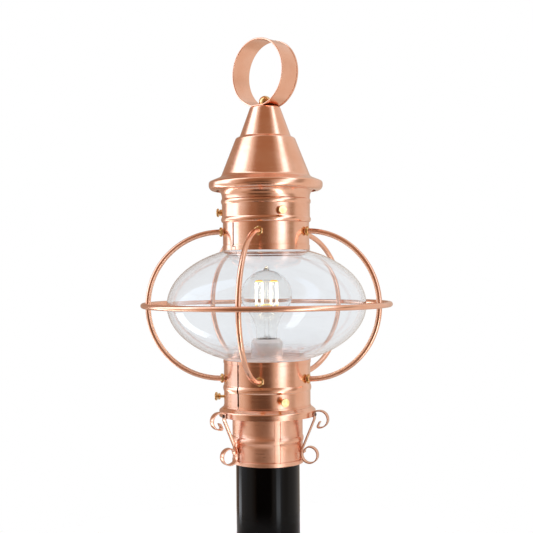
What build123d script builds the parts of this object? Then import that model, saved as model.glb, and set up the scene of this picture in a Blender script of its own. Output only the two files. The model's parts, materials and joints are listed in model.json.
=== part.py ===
"""Outdoor post lantern: copper onion cage, clear globe, spun roof and post fitter.

Millimetres, +Z up, the front is -Y. The origin is the middle of the post's cut end.
"""

import os
from math import acos, asin, cos, degrees, radians, sin, sqrt, tan

from build123d import *

# Plan angles, anticlockwise from +X. The front of the lantern is -Y.
FRONT = -90.0
WIRE_COUNT = 5
WIRE_START = FRONT - 9.0
SCREW_COUNT = 3
SCREW_START = FRONT + 19.0
STRAP_ANGLES = (FRONT - 60.0, FRONT + 72.0, FRONT + 190.0)
SET_SCREW_ANGLES = (FRONT + 140.0, FRONT + 220.0)
FITTER_SEAM_ANGLE = FRONT + 15.0
LOWER_SEAM_ANGLE = FRONT - 41.0
UPPER_SEAM_ANGLE = FRONT - 48.0
FINIAL_ANGLE = FRONT - 41.0

# How far each wire swings about its holes, out of its radial plane
WIRE_SWINGS = (-5.5, 5.0, 3.5, 6.0, -1.5)

# Sheet metal and clearances
SHEET = 1.0
SNUG = 0.05
RUNNING = 0.3
EASE = 0.3

# Post and fitter
POST_DIAMETER = 76.2
POST_WALL = 3.2
POST_EXPOSED = 120.0
SLEEVE_WALL = 2.9
SLEEVE_LIFT = 3.0
FITTER_DROP = 56.4
FITTER_BEAD_RISE = 29.3
FITTER_SEAM_WIDTH = 5.4
FITTER_SEAM_PROUD = 0.6
SET_SCREW_DIAMETER = 5.0
SET_SCREW_RISE = 15.0
SET_SCREW_KEY = 2.5

# Beads and hems rolled into the sheet
HEM_HEIGHT = 5.0
HEM_PROUD = 0.45
BEAD_HEIGHT = 8.0
BEAD_PROUD = 1.1
SEAM_GAP = 1.6
SEAM_MARGIN = 3.75

# Base flange and gallery
FLANGE_SHEET = 1.2
FLANGE_OVERHANG = 6.0
FLANGE_RIM = 7.0
FLANGE_RISE = 4.2
FLANGE_LEDGE = 0.8
FLANGE_HOLE = 60.0
FLANGE_BEND = 2.2
GALLERY_FOOT = 6.0
GALLERY_ABOVE_SCREW = 12.0
GALLERY_BEND = 1.6

# Scroll straps, each one strip in a radial plane
STRAP_WIDTH = 8.4
STRAP_THICKNESS = 1.4
LOWER_SCROLL = 9.6
LOWER_SCROLL_TURN = 270.0
LOWER_CURL = 6.9
LOWER_CURL_TURN = 60.0
LOWER_TIP = 4.8
LOWER_TIP_TURN = 45.0
LOWER_SCROLL_RISE = 10.8
UPPER_SCROLL = 10.0
UPPER_SCROLL_TURN = 185.0
STRAP_FOOT = 6.0
STRAP_BEND = 6.0
STRAP_HOOK = 1.6
STRAP_HOOK_TURN = 112.0
STRAP_TAIL = 5.5
STRAP_TIP_ANGLE = 8.0
RIVET_RISE = 2.6
RIVET_DIAMETER = 2.6
RIVET_HEAD = 4.6
RIVET_DOME = 1.7

# Collars and cage
COLLAR_DIAMETER = 103.6
SCREW_RISE = 10.2
SCREW_TO_BEAD = 12.2
BEAD_TO_WIRE = 11.7
WIRE_INSET = 22.0
WIRE_TO_SHOULDER = 11.3
GLOBE_GAP = 130.2
WIRE_DIAMETER = 6.35
WIRE_STRAIGHT = 2.7
WIRE_TAIL = 5.4
RING_SEAT = 0.5
NUT_FLATS = 9.5
NUT_THICKNESS = 3.8

# Globe, whose curve is drawn as narrow conical bands
GLOBE_CLEARANCE = 19.0
GLOBE_WALL = 3.0
GLOBE_BANDS = 28
GLOBE_NECK_GAP = 1.4
GLOBE_INSERT = 10.0
SEAT_WIDTH = 6.0
SEAT_THICKNESS = 1.6

# Thumb screws and the threaded bushes behind them
SCREW_DIAMETER = 3.5
SCREW_HEAD = 10.2
SCREW_HEAD_THICKNESS = 2.0
SCREW_NECK = 1.6
SCREW_COLLAR = 7.8
SCREW_COLLAR_THICKNESS = 2.2
UPPER_SCREW_STANDOFF = 7.4
LOWER_SCREW_STANDOFF = 12.2
BUSH_DIAMETER = 7.0
BUSH_LENGTH = 3.0

# Roof
SKIRT_STEP = 1.0
SKIRT_SCREW_RISE = 12.6
SKIRT_BEAD_RISE = 23.7
SKIRT_BEAD_HEIGHT = 5.4
SKIRT_ROLL = 4.8
SKIRT_NECK_RISE = 30.0
SKIRT_COVE = 12.0
SKIRT_COVE_ANGLE = 35.0
SPIGOT_ABOVE_SCREW = 8.0
SPIGOT_LAP = 5.0
ROOF_OVERHANG = 15.6
ROOF_LIP_RISE = 37.8
ROOF_LIP_HEIGHT = 11.0
ROOF_RETURN = 3.4
BRIM_RISE = 6.0
BRIM_BEND = 6.0
ROOF_EDGE = 3.2
LOWER_TIER_HEIGHT = 46.0
TIER_STEP = 4.8
TIER_STEP_RISE = 2.2
TIER_EDGE = 3.4
TIER_CORNER = 0.8
UPPER_TIER_HEIGHT = 35.6
UPPER_TIER_RADIUS = 30.8
ROOF_TOP_RADIUS = 17.9
ROOF_TOP_EDGE = 2.4

# Finial
FINIAL_DIAMETER = 79.6
FINIAL_WIDTH = 30.0
FINIAL_SHEET = 1.2
FINIAL_HEM = 2.6
FINIAL_HEM_PROUD = 0.6
BALL_DIAMETER = 14.8
BALL_FLAT = 13.0
STUD_DIAMETER = 5.0
STUD_DROP = 9.0
STUD_GRIP = 5.0
STUD_NUT_FLATS = 9.0
STUD_NUT_THICKNESS = 4.0

# Lamp holder
PLATE_THICKNESS = 1.2
PLATE_VENT = 14.0
PLATE_VENT_COUNT = 4
PLATE_VENT_PITCH = 60.0
NIPPLE_DIAMETER = 10.0
NIPPLE_BORE = 6.0
NIPPLE_TAIL = 7.0
NIPPLE_REACH = 10.0
NIPPLE_NUT_FLATS = 16.0
NIPPLE_NUT_THICKNESS = 3.4
SOCKET_DIAMETER = 38.4
SOCKET_HEIGHT = 52.3
SOCKET_FLOOR = 24.0
SOCKET_SHOULDER = 4.0
SOCKET_SHOULDER_STEP = 3.2
SHELL_SHEET = 0.6
SHELL_DROP = 2.0
CONTACT_DIAMETER = 9.0
CONTACT_THICKNESS = 1.5

# Lamp bulb
BULB_DIAMETER = 61.2
BULB_LENGTH = 111.5
BULB_WALL = 0.8
BULB_NECK = 5.6
BULB_PIP = 7.0
BULB_PIP_RISE = 4.2
CAP_DIAMETER = 26.4
CAP_SHEET = 0.5
CAP_HEIGHT = 26.0
CAP_LIP = 1.0
CAP_INSULATOR = 5.0
CAP_INSULATOR_TOP = 18.0
CAP_TIP_DIAMETER = 8.0
CAP_TIP = 1.5
STEM_DIAMETER = 6.0
STEM_FLARE = 9.0
STEM_ROD = 3.0
STEM_RISE = 40.0
FILAMENT_STRANDS = 8
FILAMENT_CIRCLE = 27.0
FILAMENT_HEIGHT = 30.0
FILAMENT_DIAMETER = 0.9
SUPPORT_DIAMETER = 0.8

# Radii worked out from the sizes above
post_r = POST_DIAMETER / 2
fitter_r = post_r + SNUG + SLEEVE_WALL + SNUG + SHEET
collar_r = COLLAR_DIAMETER / 2
collar_in = collar_r - SHEET
flange_r = collar_r + FLANGE_OVERHANG
wire_r = WIRE_DIAMETER / 2
screw_r = SCREW_DIAMETER / 2
spigot_r = collar_in - BUSH_LENGTH - RUNNING - RUNNING
skirt_r = collar_r + SKIRT_STEP
skirt_in = skirt_r - SHEET
rim_r = skirt_r + ROOF_OVERHANG

# Heights worked out from the sizes above
fitter_z = POST_EXPOSED
rim_low = fitter_z + FITTER_DROP
rim_high = rim_low + FLANGE_RIM
ledge_z = rim_high + FLANGE_RISE
post_top = ledge_z - FLANGE_SHEET
lower_screw_z = ledge_z + SCREW_RISE
lower_bead_z = lower_screw_z + SCREW_TO_BEAD
wire_low = lower_bead_z + BEAD_TO_WIRE
lower_top = wire_low + WIRE_INSET
upper_low = lower_top + GLOBE_GAP
wire_high = upper_low + WIRE_INSET
shoulder_z = wire_high + WIRE_TO_SHOULDER
equator_z = (wire_low + wire_high) / 2
upper_screw_z = shoulder_z + SKIRT_SCREW_RISE
lip_z = shoulder_z + ROOF_LIP_RISE
gallery_top = lower_screw_z + GALLERY_ABOVE_SCREW
plate_top = gallery_top + PLATE_THICKNESS
socket_z = plate_top + NIPPLE_NUT_THICKNESS

# The cage and the globe inside it
wire_bend = (wire_high - wire_low) / 2
wire_reach = collar_r + WIRE_STRAIGHT + wire_bend
ring_r = wire_reach + WIRE_DIAMETER - RING_SEAT
globe_r = wire_reach - wire_r - GLOBE_CLEARANCE
neck_r = collar_in - GLOBE_NECK_GAP
globe_b = GLOBE_GAP / 2 / sqrt(1 - (neck_r / globe_r) ** 2)


def radial_plane(angle, height=0.0):
    """Plane through the Z axis: its x runs outward at the plan angle and its y is up."""
    a = radians(angle)
    return Plane(origin=(0, 0, height), x_dir=(cos(a), sin(a), 0), z_dir=(sin(a), -cos(a), 0))


def facing_plane(angle, radius, height):
    """Plane square to the outward direction at a radius and height: its y is up."""
    a = radians(angle)
    origin = (radius * cos(a), radius * sin(a), height)
    return Plane(origin=origin, x_dir=(-sin(a), cos(a), 0), z_dir=(cos(a), sin(a), 0))


def radial_axis(angle, height):
    """Axis that runs outward from the Z axis at the plan angle."""
    a = radians(angle)
    return Axis((0, 0, height), (cos(a), sin(a), 0))


def wire_plane(angle, swing):
    """Upright plane along a wire: its x runs outward from the wire's hole in the collar, its y is up."""
    hole = facing_plane(angle, collar_r, 0).origin
    a = radians(angle + swing)
    return Plane(origin=hole, x_dir=(cos(a), sin(a), 0), z_dir=(sin(a), -cos(a), 0))


def wire_station(angle, swing, reach, height):
    """Plane square to a wire, at a reach beyond its hole in the collar and a height: its y is up."""
    along = wire_plane(angle, swing)
    origin = along.from_local_coords((reach, height, 0))
    return Plane(origin=origin, x_dir=-along.z_dir, z_dir=along.x_dir)


def spread(count, start):
    """Plan angles of equally spaced pieces."""
    return [start + k * 360.0 / count for k in range(count)]


def flat_depth(radius, half_width):
    """Distance from the axis at which a flat of this half width meets a cylinder."""
    return sqrt(radius**2 - half_width**2)


def save(piece, label):
    """Labels a finished piece and writes its STEP file."""
    piece.label = label
    export_step(piece, f"parts/{label}.step")


os.makedirs("parts", exist_ok=True)

wires = list(zip(spread(WIRE_COUNT, WIRE_START), WIRE_SWINGS))
screw_angles = spread(SCREW_COUNT, SCREW_START)

# Post: a tube cut off below the fitter
with BuildPart() as post:
    with BuildSketch():
        Circle(post_r)
        Circle(post_r - POST_WALL, mode=Mode.SUBTRACT)
    extrude(amount=post_top)
save(post.part, "post")

# Fitter sleeve: packs the skirt out to the post
sleeve_in = post_r + SNUG
sleeve_out = sleeve_in + SLEEVE_WALL
set_screw_r = SET_SCREW_DIAMETER / 2
set_screw_z = fitter_z + SET_SCREW_RISE
with BuildPart() as fitter_sleeve:
    with BuildSketch(Plane.XY.offset(fitter_z + SLEEVE_LIFT)):
        Circle(sleeve_out)
        Circle(sleeve_in, mode=Mode.SUBTRACT)
    extrude(amount=post_top - fitter_z - SLEEVE_LIFT)
    for angle in SET_SCREW_ANGLES:
        with BuildSketch(facing_plane(angle, post_r, set_screw_z)):
            Circle(set_screw_r + SNUG)
        extrude(amount=SLEEVE_WALL + SHEET, mode=Mode.SUBTRACT)
save(fitter_sleeve.part, "fitter_sleeve")

# Fitter skirt: hemmed sheet with one bead and a lap seam that interrupts it
fitter_in = fitter_r - SHEET
fitter_bead_z = fitter_z + FITTER_BEAD_RISE
seam_arc = degrees(FITTER_SEAM_WIDTH / fitter_r)
with BuildPart() as fitter_skirt:
    with BuildSketch(Plane.XZ):
        with BuildLine():
            hem = Polyline(
                (fitter_r, fitter_bead_z - BEAD_HEIGHT / 2),
                (fitter_r, fitter_z + HEM_HEIGHT),
                (fitter_r + HEM_PROUD, fitter_z + HEM_HEIGHT - EASE),
                (fitter_r + HEM_PROUD, fitter_z),
                (fitter_in, fitter_z),
                (fitter_in, post_top),
                (fitter_r, post_top),
                (fitter_r, fitter_bead_z + BEAD_HEIGHT / 2),
            )
            ThreePointArc(hem @ 1, (fitter_r + BEAD_PROUD, fitter_bead_z), hem @ 0)
        make_face()
    revolve(axis=Axis.Z)
    with BuildSketch(radial_plane(FITTER_SEAM_ANGLE - seam_arc / 2)):
        with Locations((fitter_r, fitter_z + HEM_HEIGHT)):
            Rectangle(BEAD_PROUD * 2, post_top - fitter_z, align=(Align.MIN, Align.MIN))
    revolve(axis=Axis.Z, revolution_arc=seam_arc, mode=Mode.SUBTRACT)
    with BuildSketch(radial_plane(FITTER_SEAM_ANGLE - seam_arc / 2)):
        with Locations((fitter_in, fitter_z)):
            Rectangle(SHEET + FITTER_SEAM_PROUD, post_top - fitter_z, align=(Align.MIN, Align.MIN))
    revolve(axis=Axis.Z, revolution_arc=seam_arc)
    for angle in SET_SCREW_ANGLES:
        with BuildSketch(facing_plane(angle, post_r, set_screw_z)):
            Circle(set_screw_r + SNUG)
        extrude(amount=SLEEVE_WALL + SHEET + BEAD_PROUD, mode=Mode.SUBTRACT)
save(fitter_skirt.part, "fitter_skirt")

# Set screws at the back: flush grub screws with a hex key socket
with BuildPart() as post_set_screws:
    for angle in SET_SCREW_ANGLES:
        with BuildSketch(facing_plane(angle, post_r + SNUG, set_screw_z)):
            Circle(set_screw_r)
        extrude(amount=SLEEVE_WALL + SHEET)
        with BuildSketch(facing_plane(angle, fitter_r + SNUG, set_screw_z)):
            RegularPolygon(SET_SCREW_KEY / 2, 6, major_radius=False)
        extrude(amount=-SLEEVE_WALL, mode=Mode.SUBTRACT)
save(post_set_screws.part, "post_set_screws")

# Base flange: flat ledge, sloped shoulder and upright rim
ledge_r = collar_r + FLANGE_LEDGE
rivet_z = rim_low + RIVET_RISE
rivet_r = RIVET_DIAMETER / 2
with BuildPart() as base_flange:
    with BuildSketch(Plane.XZ):
        with BuildLine():
            FilletPolyline(
                (FLANGE_HOLE / 2, ledge_z),
                (ledge_r, ledge_z),
                (flange_r, rim_high),
                (flange_r, rim_low),
                radius=FLANGE_BEND,
            )
            offset(amount=FLANGE_SHEET, side=Side.RIGHT, kind=Kind.INTERSECTION)
        make_face()
    revolve(axis=Axis.Z)
    for angle in STRAP_ANGLES:
        with BuildSketch(facing_plane(angle, flange_r, rivet_z)):
            Circle(rivet_r + SNUG)
        extrude(amount=2 * FLANGE_SHEET, both=True, mode=Mode.SUBTRACT)
save(base_flange.part, "base_flange")

# Gallery ring: the upstand inside the lower collar that the lower screws bear on
with BuildPart() as gallery_ring:
    with BuildSketch(Plane.XZ):
        with BuildLine():
            FilletPolyline(
                (spigot_r - GALLERY_FOOT, ledge_z),
                (spigot_r, ledge_z),
                (spigot_r, gallery_top),
                radius=GALLERY_BEND,
            )
            offset(amount=SHEET, side=Side.LEFT, kind=Kind.INTERSECTION)
        make_face()
    revolve(axis=Axis.Z)
save(gallery_ring.part, "gallery_ring")


def scroll_strap(angle):
    """One strip: a lower scroll, a leg from the skirt to the flange rim, an upper scroll."""
    foot_r = fitter_r + SNUG + STRAP_THICKNESS / 2
    head_r = flange_r + SNUG + STRAP_THICKNESS / 2
    foot_z = fitter_z + LOWER_SCROLL_RISE
    bend_z = rivet_z + RIVET_HEAD / 2 + STRAP_THICKNESS
    reach = UPPER_SCROLL / 2
    with BuildPart() as strap:
        with BuildSketch(radial_plane(angle)):
            with BuildLine():
                leg = FilletPolyline(
                    (foot_r, foot_z),
                    (foot_r, foot_z + STRAP_FOOT),
                    (head_r, rim_low - RIVET_RISE),
                    (head_r, bend_z),
                    (head_r + reach, bend_z + reach * tan(radians(STRAP_TIP_ANGLE))),
                    radius=[STRAP_BEND, STRAP_BEND, STRAP_HOOK],
                )
                low = JernArc(leg @ 0, (0, -1), LOWER_SCROLL, LOWER_SCROLL_TURN)
                curl = JernArc(low @ 1, low % 1, LOWER_CURL, LOWER_CURL_TURN)
                JernArc(curl @ 1, curl % 1, LOWER_TIP, LOWER_TIP_TURN)
                high = JernArc(leg @ 1, leg % 1, UPPER_SCROLL, -UPPER_SCROLL_TURN - STRAP_TIP_ANGLE)
                hook = JernArc(high @ 1, high % 1, STRAP_HOOK, -STRAP_HOOK_TURN)
                Line(hook @ 1, (hook @ 1) + (hook % 1) * STRAP_TAIL)
                offset(amount=STRAP_THICKNESS / 2)
            make_face()
        extrude(amount=STRAP_WIDTH / 2, both=True)
        with BuildSketch(facing_plane(angle, flange_r, rivet_z)):
            Circle(rivet_r + SNUG)
        extrude(amount=STRAP_THICKNESS + RUNNING, mode=Mode.SUBTRACT)
    return strap.part


for number, angle in enumerate(STRAP_ANGLES, start=1):
    save(scroll_strap(angle), f"scroll_strap_{number}")

# Strap rivets: domed outside, set flat inside the flange rim
rivet_in = flat_depth(flange_r - FLANGE_SHEET, RIVET_HEAD / 2) - SNUG
rivet_out = flange_r + STRAP_THICKNESS + 2 * SNUG
with BuildPart() as strap_rivets:
    for angle in STRAP_ANGLES:
        with BuildSketch(radial_plane(angle, rivet_z)):
            with BuildLine():
                dome = TangentArc((rivet_out + RIVET_DOME, 0), (rivet_out, RIVET_HEAD / 2), tangent=(0, 1))
                Polyline(
                    dome @ 1,
                    (rivet_out, rivet_r),
                    (rivet_in, rivet_r),
                    (rivet_in, RIVET_HEAD / 2),
                    (rivet_in - FLANGE_SHEET, RIVET_HEAD / 2),
                    (rivet_in - FLANGE_SHEET, 0),
                    dome @ 0,
                )
            make_face()
        revolve(axis=radial_axis(angle, rivet_z))
save(strap_rivets.part, "strap_rivets")

# Lower collar: hemmed at both ends, one bead, an open lap seam between the hems
with BuildPart() as lower_collar:
    with BuildSketch(Plane.XZ):
        with BuildLine():
            wall = Polyline(
                (collar_r, lower_bead_z - BEAD_HEIGHT / 2),
                (collar_r, ledge_z + HEM_HEIGHT / 2),
                (collar_r + HEM_PROUD, ledge_z + HEM_HEIGHT / 2 - EASE),
                (collar_r + HEM_PROUD, ledge_z),
                (collar_in, ledge_z),
                (collar_in, lower_top),
                (collar_r + HEM_PROUD - EASE, lower_top),
                (collar_r + HEM_PROUD, lower_top - EASE),
                (collar_r + HEM_PROUD, lower_top - HEM_HEIGHT + EASE),
                (collar_r, lower_top - HEM_HEIGHT),
                (collar_r, lower_bead_z + BEAD_HEIGHT / 2),
            )
            ThreePointArc(wall @ 1, (collar_r + BEAD_PROUD, lower_bead_z), wall @ 0)
        make_face()
    revolve(axis=Axis.Z)
    for angle, swing in wires:
        with BuildSketch(wire_station(angle, swing, 0, wire_low)):
            Circle(wire_r + SNUG)
        extrude(amount=2 * SHEET, both=True, mode=Mode.SUBTRACT)
    for angle in screw_angles:
        with BuildSketch(facing_plane(angle, collar_r, lower_screw_z)):
            Circle(screw_r + RUNNING)
        extrude(amount=2 * SHEET, both=True, mode=Mode.SUBTRACT)
    with BuildSketch(facing_plane(LOWER_SEAM_ANGLE, collar_r, (ledge_z + lower_top) / 2)):
        SlotOverall(lower_top - ledge_z - 2 * SEAM_MARGIN, SEAM_GAP, rotation=90)
    extrude(amount=SHEET + BEAD_PROUD, both=True, mode=Mode.SUBTRACT)
save(lower_collar.part, "lower_collar")

# Upper collar: hemmed below, turned in above to a shoulder that the roof skirt sits on
with BuildPart() as upper_collar:
    with BuildSketch(Plane.XZ):
        with BuildLine():
            Polyline(
                (collar_in, upper_low),
                (collar_r + HEM_PROUD - EASE, upper_low),
                (collar_r + HEM_PROUD, upper_low + EASE),
                (collar_r + HEM_PROUD, upper_low + HEM_HEIGHT - EASE),
                (collar_r, upper_low + HEM_HEIGHT),
                (collar_r, shoulder_z),
                (spigot_r + SNUG, shoulder_z),
                (spigot_r + SNUG, shoulder_z - SHEET),
                (collar_in, shoulder_z - SHEET),
                close=True,
            )
        make_face()
    revolve(axis=Axis.Z)
    for angle, swing in wires:
        with BuildSketch(wire_station(angle, swing, 0, wire_high)):
            Circle(wire_r + SNUG)
        extrude(amount=2 * SHEET, both=True, mode=Mode.SUBTRACT)
    seam_low = upper_low + SEAM_MARGIN
    seam_high = shoulder_z - 2 * SHEET
    with BuildSketch(facing_plane(UPPER_SEAM_ANGLE, collar_r, (seam_low + seam_high) / 2)):
        SlotOverall(seam_high - seam_low, SEAM_GAP, rotation=90)
    extrude(amount=2 * SHEET, both=True, mode=Mode.SUBTRACT)
save(upper_collar.part, "upper_collar")

# Spigot ring: brazed in the upper collar's shoulder, it locates the roof skirt and takes the upper screws
spigot_top = upper_screw_z + SPIGOT_ABOVE_SCREW
with BuildPart() as spigot_ring:
    with BuildSketch(Plane.XY.offset(shoulder_z - SPIGOT_LAP)):
        Circle(spigot_r)
        Circle(spigot_r - SHEET, mode=Mode.SUBTRACT)
    extrude(amount=spigot_top - shoulder_z + SPIGOT_LAP)
save(spigot_ring.part, "spigot_ring")


def cage_wire(angle, swing):
    """Round wire: out of the upper collar, half a turn, and back into the lower one."""
    tail = -SHEET - WIRE_TAIL
    with BuildPart() as wire:
        with BuildLine(wire_plane(angle, swing)) as path:
            Line((tail, wire_high), (WIRE_STRAIGHT, wire_high))
            ThreePointArc(
                (WIRE_STRAIGHT, wire_high),
                (WIRE_STRAIGHT + wire_bend, equator_z),
                (WIRE_STRAIGHT, wire_low),
            )
            Line((WIRE_STRAIGHT, wire_low), (tail, wire_low))
        with BuildSketch(wire_station(angle, swing, tail, wire_high)):
            Circle(wire_r)
        sweep(path=path.line)
    return wire.part


for number, (angle, swing) in enumerate(wires, start=1):
    save(cage_wire(angle, swing), f"cage_wire_{number}")

# Equator ring: notched where the wires seat in it
with BuildPart() as equator_ring:
    with BuildSketch(Plane.XZ):
        with Locations((ring_r, equator_z)):
            Circle(wire_r)
    revolve(axis=Axis.Z)
    with BuildSketch(Plane.XY.offset(equator_z)):
        with Locations(*[wire_station(a, swing, WIRE_STRAIGHT + wire_bend, 0).origin for a, swing in wires]):
            Circle(wire_r + SNUG)
    extrude(amount=WIRE_DIAMETER, both=True, mode=Mode.SUBTRACT)
save(equator_ring.part, "equator_ring")


def wire_nuts(face):
    """The ten hex nuts on the wire ends whose outer faces stand at a reach beyond the wires' holes."""
    with BuildPart() as nuts:
        for height in (wire_low, wire_high):
            for angle, swing in wires:
                with BuildSketch(wire_station(angle, swing, face, height)):
                    RegularPolygon(NUT_FLATS / 2, 6, major_radius=False)
                    Circle(wire_r + SNUG, mode=Mode.SUBTRACT)
                extrude(amount=-NUT_THICKNESS)
    return nuts.part


# The nuts stand square to their wires, so the widest swing lifts a corner this far off the collar
nut_corner = NUT_FLATS / sqrt(3)
nut_lift = nut_corner * sin(radians(max(abs(swing) for swing in WIRE_SWINGS)))
save(wire_nuts(nut_lift + SNUG + NUT_THICKNESS), "wire_nuts_outer")
save(wire_nuts(flat_depth(collar_in, nut_corner) - collar_r - nut_lift - SNUG), "wire_nuts_inner")

# Globe seat: a flat ring brazed inside the lower collar under the globe's neck
seat_top = lower_top - GLOBE_INSERT
with BuildPart() as globe_seat:
    with BuildSketch(Plane.XY.offset(seat_top)):
        Circle(collar_in - SNUG)
        Circle(collar_in - SEAT_WIDTH, mode=Mode.SUBTRACT)
    extrude(amount=-SEAT_THICKNESS)
save(globe_seat.part, "globe_seat")



def globe_curve(inset):
    """Points up the globe's ellipse from neck to neck, at an inset from its outside."""
    a = globe_r - inset
    b = globe_b - inset
    turn = acos((neck_r - inset) / a)
    steps = [turn * (2 * k / GLOBE_BANDS - 1) for k in range(GLOBE_BANDS + 1)]
    return [(a * cos(t), equator_z + b * sin(t)) for t in steps]


# Glass globe: a blown ellipsoid with a straight neck at each end
globe_low = seat_top + SNUG
globe_high = upper_low + GLOBE_INSERT
with BuildPart() as glass_globe:
    with BuildSketch(Plane.XZ):
        with BuildLine():
            Polyline(
                (neck_r, globe_low),
                *globe_curve(0),
                (neck_r, globe_high),
                (neck_r - GLOBE_WALL, globe_high),
                *reversed(globe_curve(GLOBE_WALL)),
                (neck_r - GLOBE_WALL, globe_low),
                close=True,
            )
        make_face()
    revolve(axis=Axis.Z)
save(glass_globe.part, "glass_globe")


def screw_bushes(wall_r, height):
    """Three threaded bushes brazed behind a wall at the thumb screws."""
    face_r = flat_depth(wall_r, BUSH_DIAMETER / 2) - SNUG
    with BuildPart() as bushes:
        for angle in screw_angles:
            with BuildSketch(facing_plane(angle, face_r, height)):
                Circle(BUSH_DIAMETER / 2)
                Circle(screw_r + RUNNING, mode=Mode.SUBTRACT)
            extrude(amount=-BUSH_LENGTH)
    return bushes.part


save(screw_bushes(collar_in, lower_screw_z), "lower_screw_bushes")
save(screw_bushes(skirt_in, upper_screw_z), "upper_screw_bushes")


def thumb_screw(angle, height, head_face):
    """Turned screw: flat head, groove, collar and a shank that stops short of the spigot."""
    tip = spigot_r + RUNNING
    head_back = head_face - SCREW_HEAD_THICKNESS
    collar_face = head_back - SCREW_NECK
    collar_back = collar_face - SCREW_COLLAR_THICKNESS
    with BuildPart() as screw:
        with BuildSketch(radial_plane(angle, height)):
            with BuildLine():
                FilletPolyline(
                    (tip, 0),
                    (tip, screw_r),
                    (collar_back, screw_r),
                    (collar_back, SCREW_COLLAR / 2),
                    (collar_face, SCREW_COLLAR / 2),
                    (collar_face, screw_r),
                    (head_back, screw_r),
                    (head_back, SCREW_HEAD / 2),
                    (head_face, SCREW_HEAD / 2),
                    (head_face, 0),
                    radius=[EASE, 0, EASE, EASE, 0, 0, EASE, 2 * EASE],
                )
                Line((head_face, 0), (tip, 0))
            make_face()
        revolve(axis=radial_axis(angle, height))
    return screw.part


for number, angle in enumerate(screw_angles, start=1):
    upper_face = skirt_r + UPPER_SCREW_STANDOFF
    lower_face = collar_r + LOWER_SCREW_STANDOFF
    save(thumb_screw(angle, upper_screw_z, upper_face), f"upper_thumb_screw_{number}")
    save(thumb_screw(angle, lower_screw_z, lower_face), f"lower_thumb_screw_{number}")

# Roof: two spun tiers, a step between them, a sloped brim and a rolled lip
brim_z = lip_z + ROOF_LIP_HEIGHT
tier_low_z = brim_z + BRIM_RISE
tier_step_z = tier_low_z + LOWER_TIER_HEIGHT
tier_high_z = tier_step_z + TIER_STEP_RISE
roof_top = tier_high_z + UPPER_TIER_HEIGHT
with BuildPart() as roof_cap:
    with BuildSketch(Plane.XZ):
        with BuildLine():
            FilletPolyline(
                (0, roof_top),
                (ROOF_TOP_RADIUS, roof_top),
                (UPPER_TIER_RADIUS, tier_high_z),
                (UPPER_TIER_RADIUS + TIER_STEP, tier_step_z),
                (skirt_r + SHEET, tier_low_z),
                (rim_r, brim_z),
                (rim_r, lip_z),
                (rim_r - ROOF_RETURN, lip_z),
                radius=[ROOF_TOP_EDGE, TIER_CORNER, TIER_EDGE, BRIM_BEND, ROOF_EDGE, SHEET + EASE],
            )
            offset(amount=SHEET, side=Side.RIGHT, kind=Kind.INTERSECTION)
        make_face()
    revolve(axis=Axis.Z)
    with BuildSketch(Plane.XY.offset(roof_top)):
        Circle(STUD_DIAMETER / 2 + SNUG)
    extrude(amount=-2 * SHEET, mode=Mode.SUBTRACT)
save(roof_cap.part, "roof_cap")

# Roof skirt: turned in below, rolled edge, bead, and a cove up to the underside of the brim
skirt_bead_z = shoulder_z + SKIRT_BEAD_RISE
skirt_neck_z = shoulder_z + SKIRT_NECK_RISE
with BuildPart() as roof_skirt:
    with BuildSketch(Plane.XZ):
        with BuildLine():
            wall = FilletPolyline(
                (spigot_r + RUNNING, shoulder_z),
                (skirt_r, shoulder_z),
                (skirt_r, skirt_neck_z),
                radius=SHEET,
            )
            cove = JernArc(wall @ 1, wall % 1, SKIRT_COVE, -SKIRT_COVE_ANGLE)
            Line(cove @ 1, (cove @ 1) + (cove % 1) * (ROOF_LIP_HEIGHT + BRIM_RISE))
            offset(amount=SHEET, side=Side.LEFT, kind=Kind.INTERSECTION)
        make_face()
    revolve(axis=Axis.Z)
    with BuildSketch(Plane.XZ):
        with BuildLine():
            roll = ThreePointArc(
                (skirt_r, shoulder_z + SHEET / 2),
                (skirt_r + BEAD_PROUD, shoulder_z + SKIRT_ROLL / 2),
                (skirt_r, shoulder_z + SKIRT_ROLL),
            )
            Polyline(roll @ 1, (skirt_in, shoulder_z + SKIRT_ROLL / 2), roll @ 0)
        make_face()
        with BuildLine():
            bead = ThreePointArc(
                (skirt_r, skirt_bead_z - SKIRT_BEAD_HEIGHT / 2),
                (skirt_r + BEAD_PROUD, skirt_bead_z),
                (skirt_r, skirt_bead_z + SKIRT_BEAD_HEIGHT / 2),
            )
            Polyline(bead @ 1, (skirt_in, skirt_bead_z), bead @ 0)
        make_face()
    revolve(axis=Axis.Z)
    for angle in screw_angles:
        with BuildSketch(facing_plane(angle, skirt_r, upper_screw_z)):
            Circle(screw_r + RUNNING)
        extrude(amount=2 * SHEET, both=True, mode=Mode.SUBTRACT)
    add(roof_cap.part, mode=Mode.SUBTRACT)
    with BuildSketch(Plane.XY.offset(brim_z)):
        Circle(2 * rim_r)
    extrude(amount=rim_r, mode=Mode.SUBTRACT)
save(roof_skirt.part, "roof_skirt")

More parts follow.
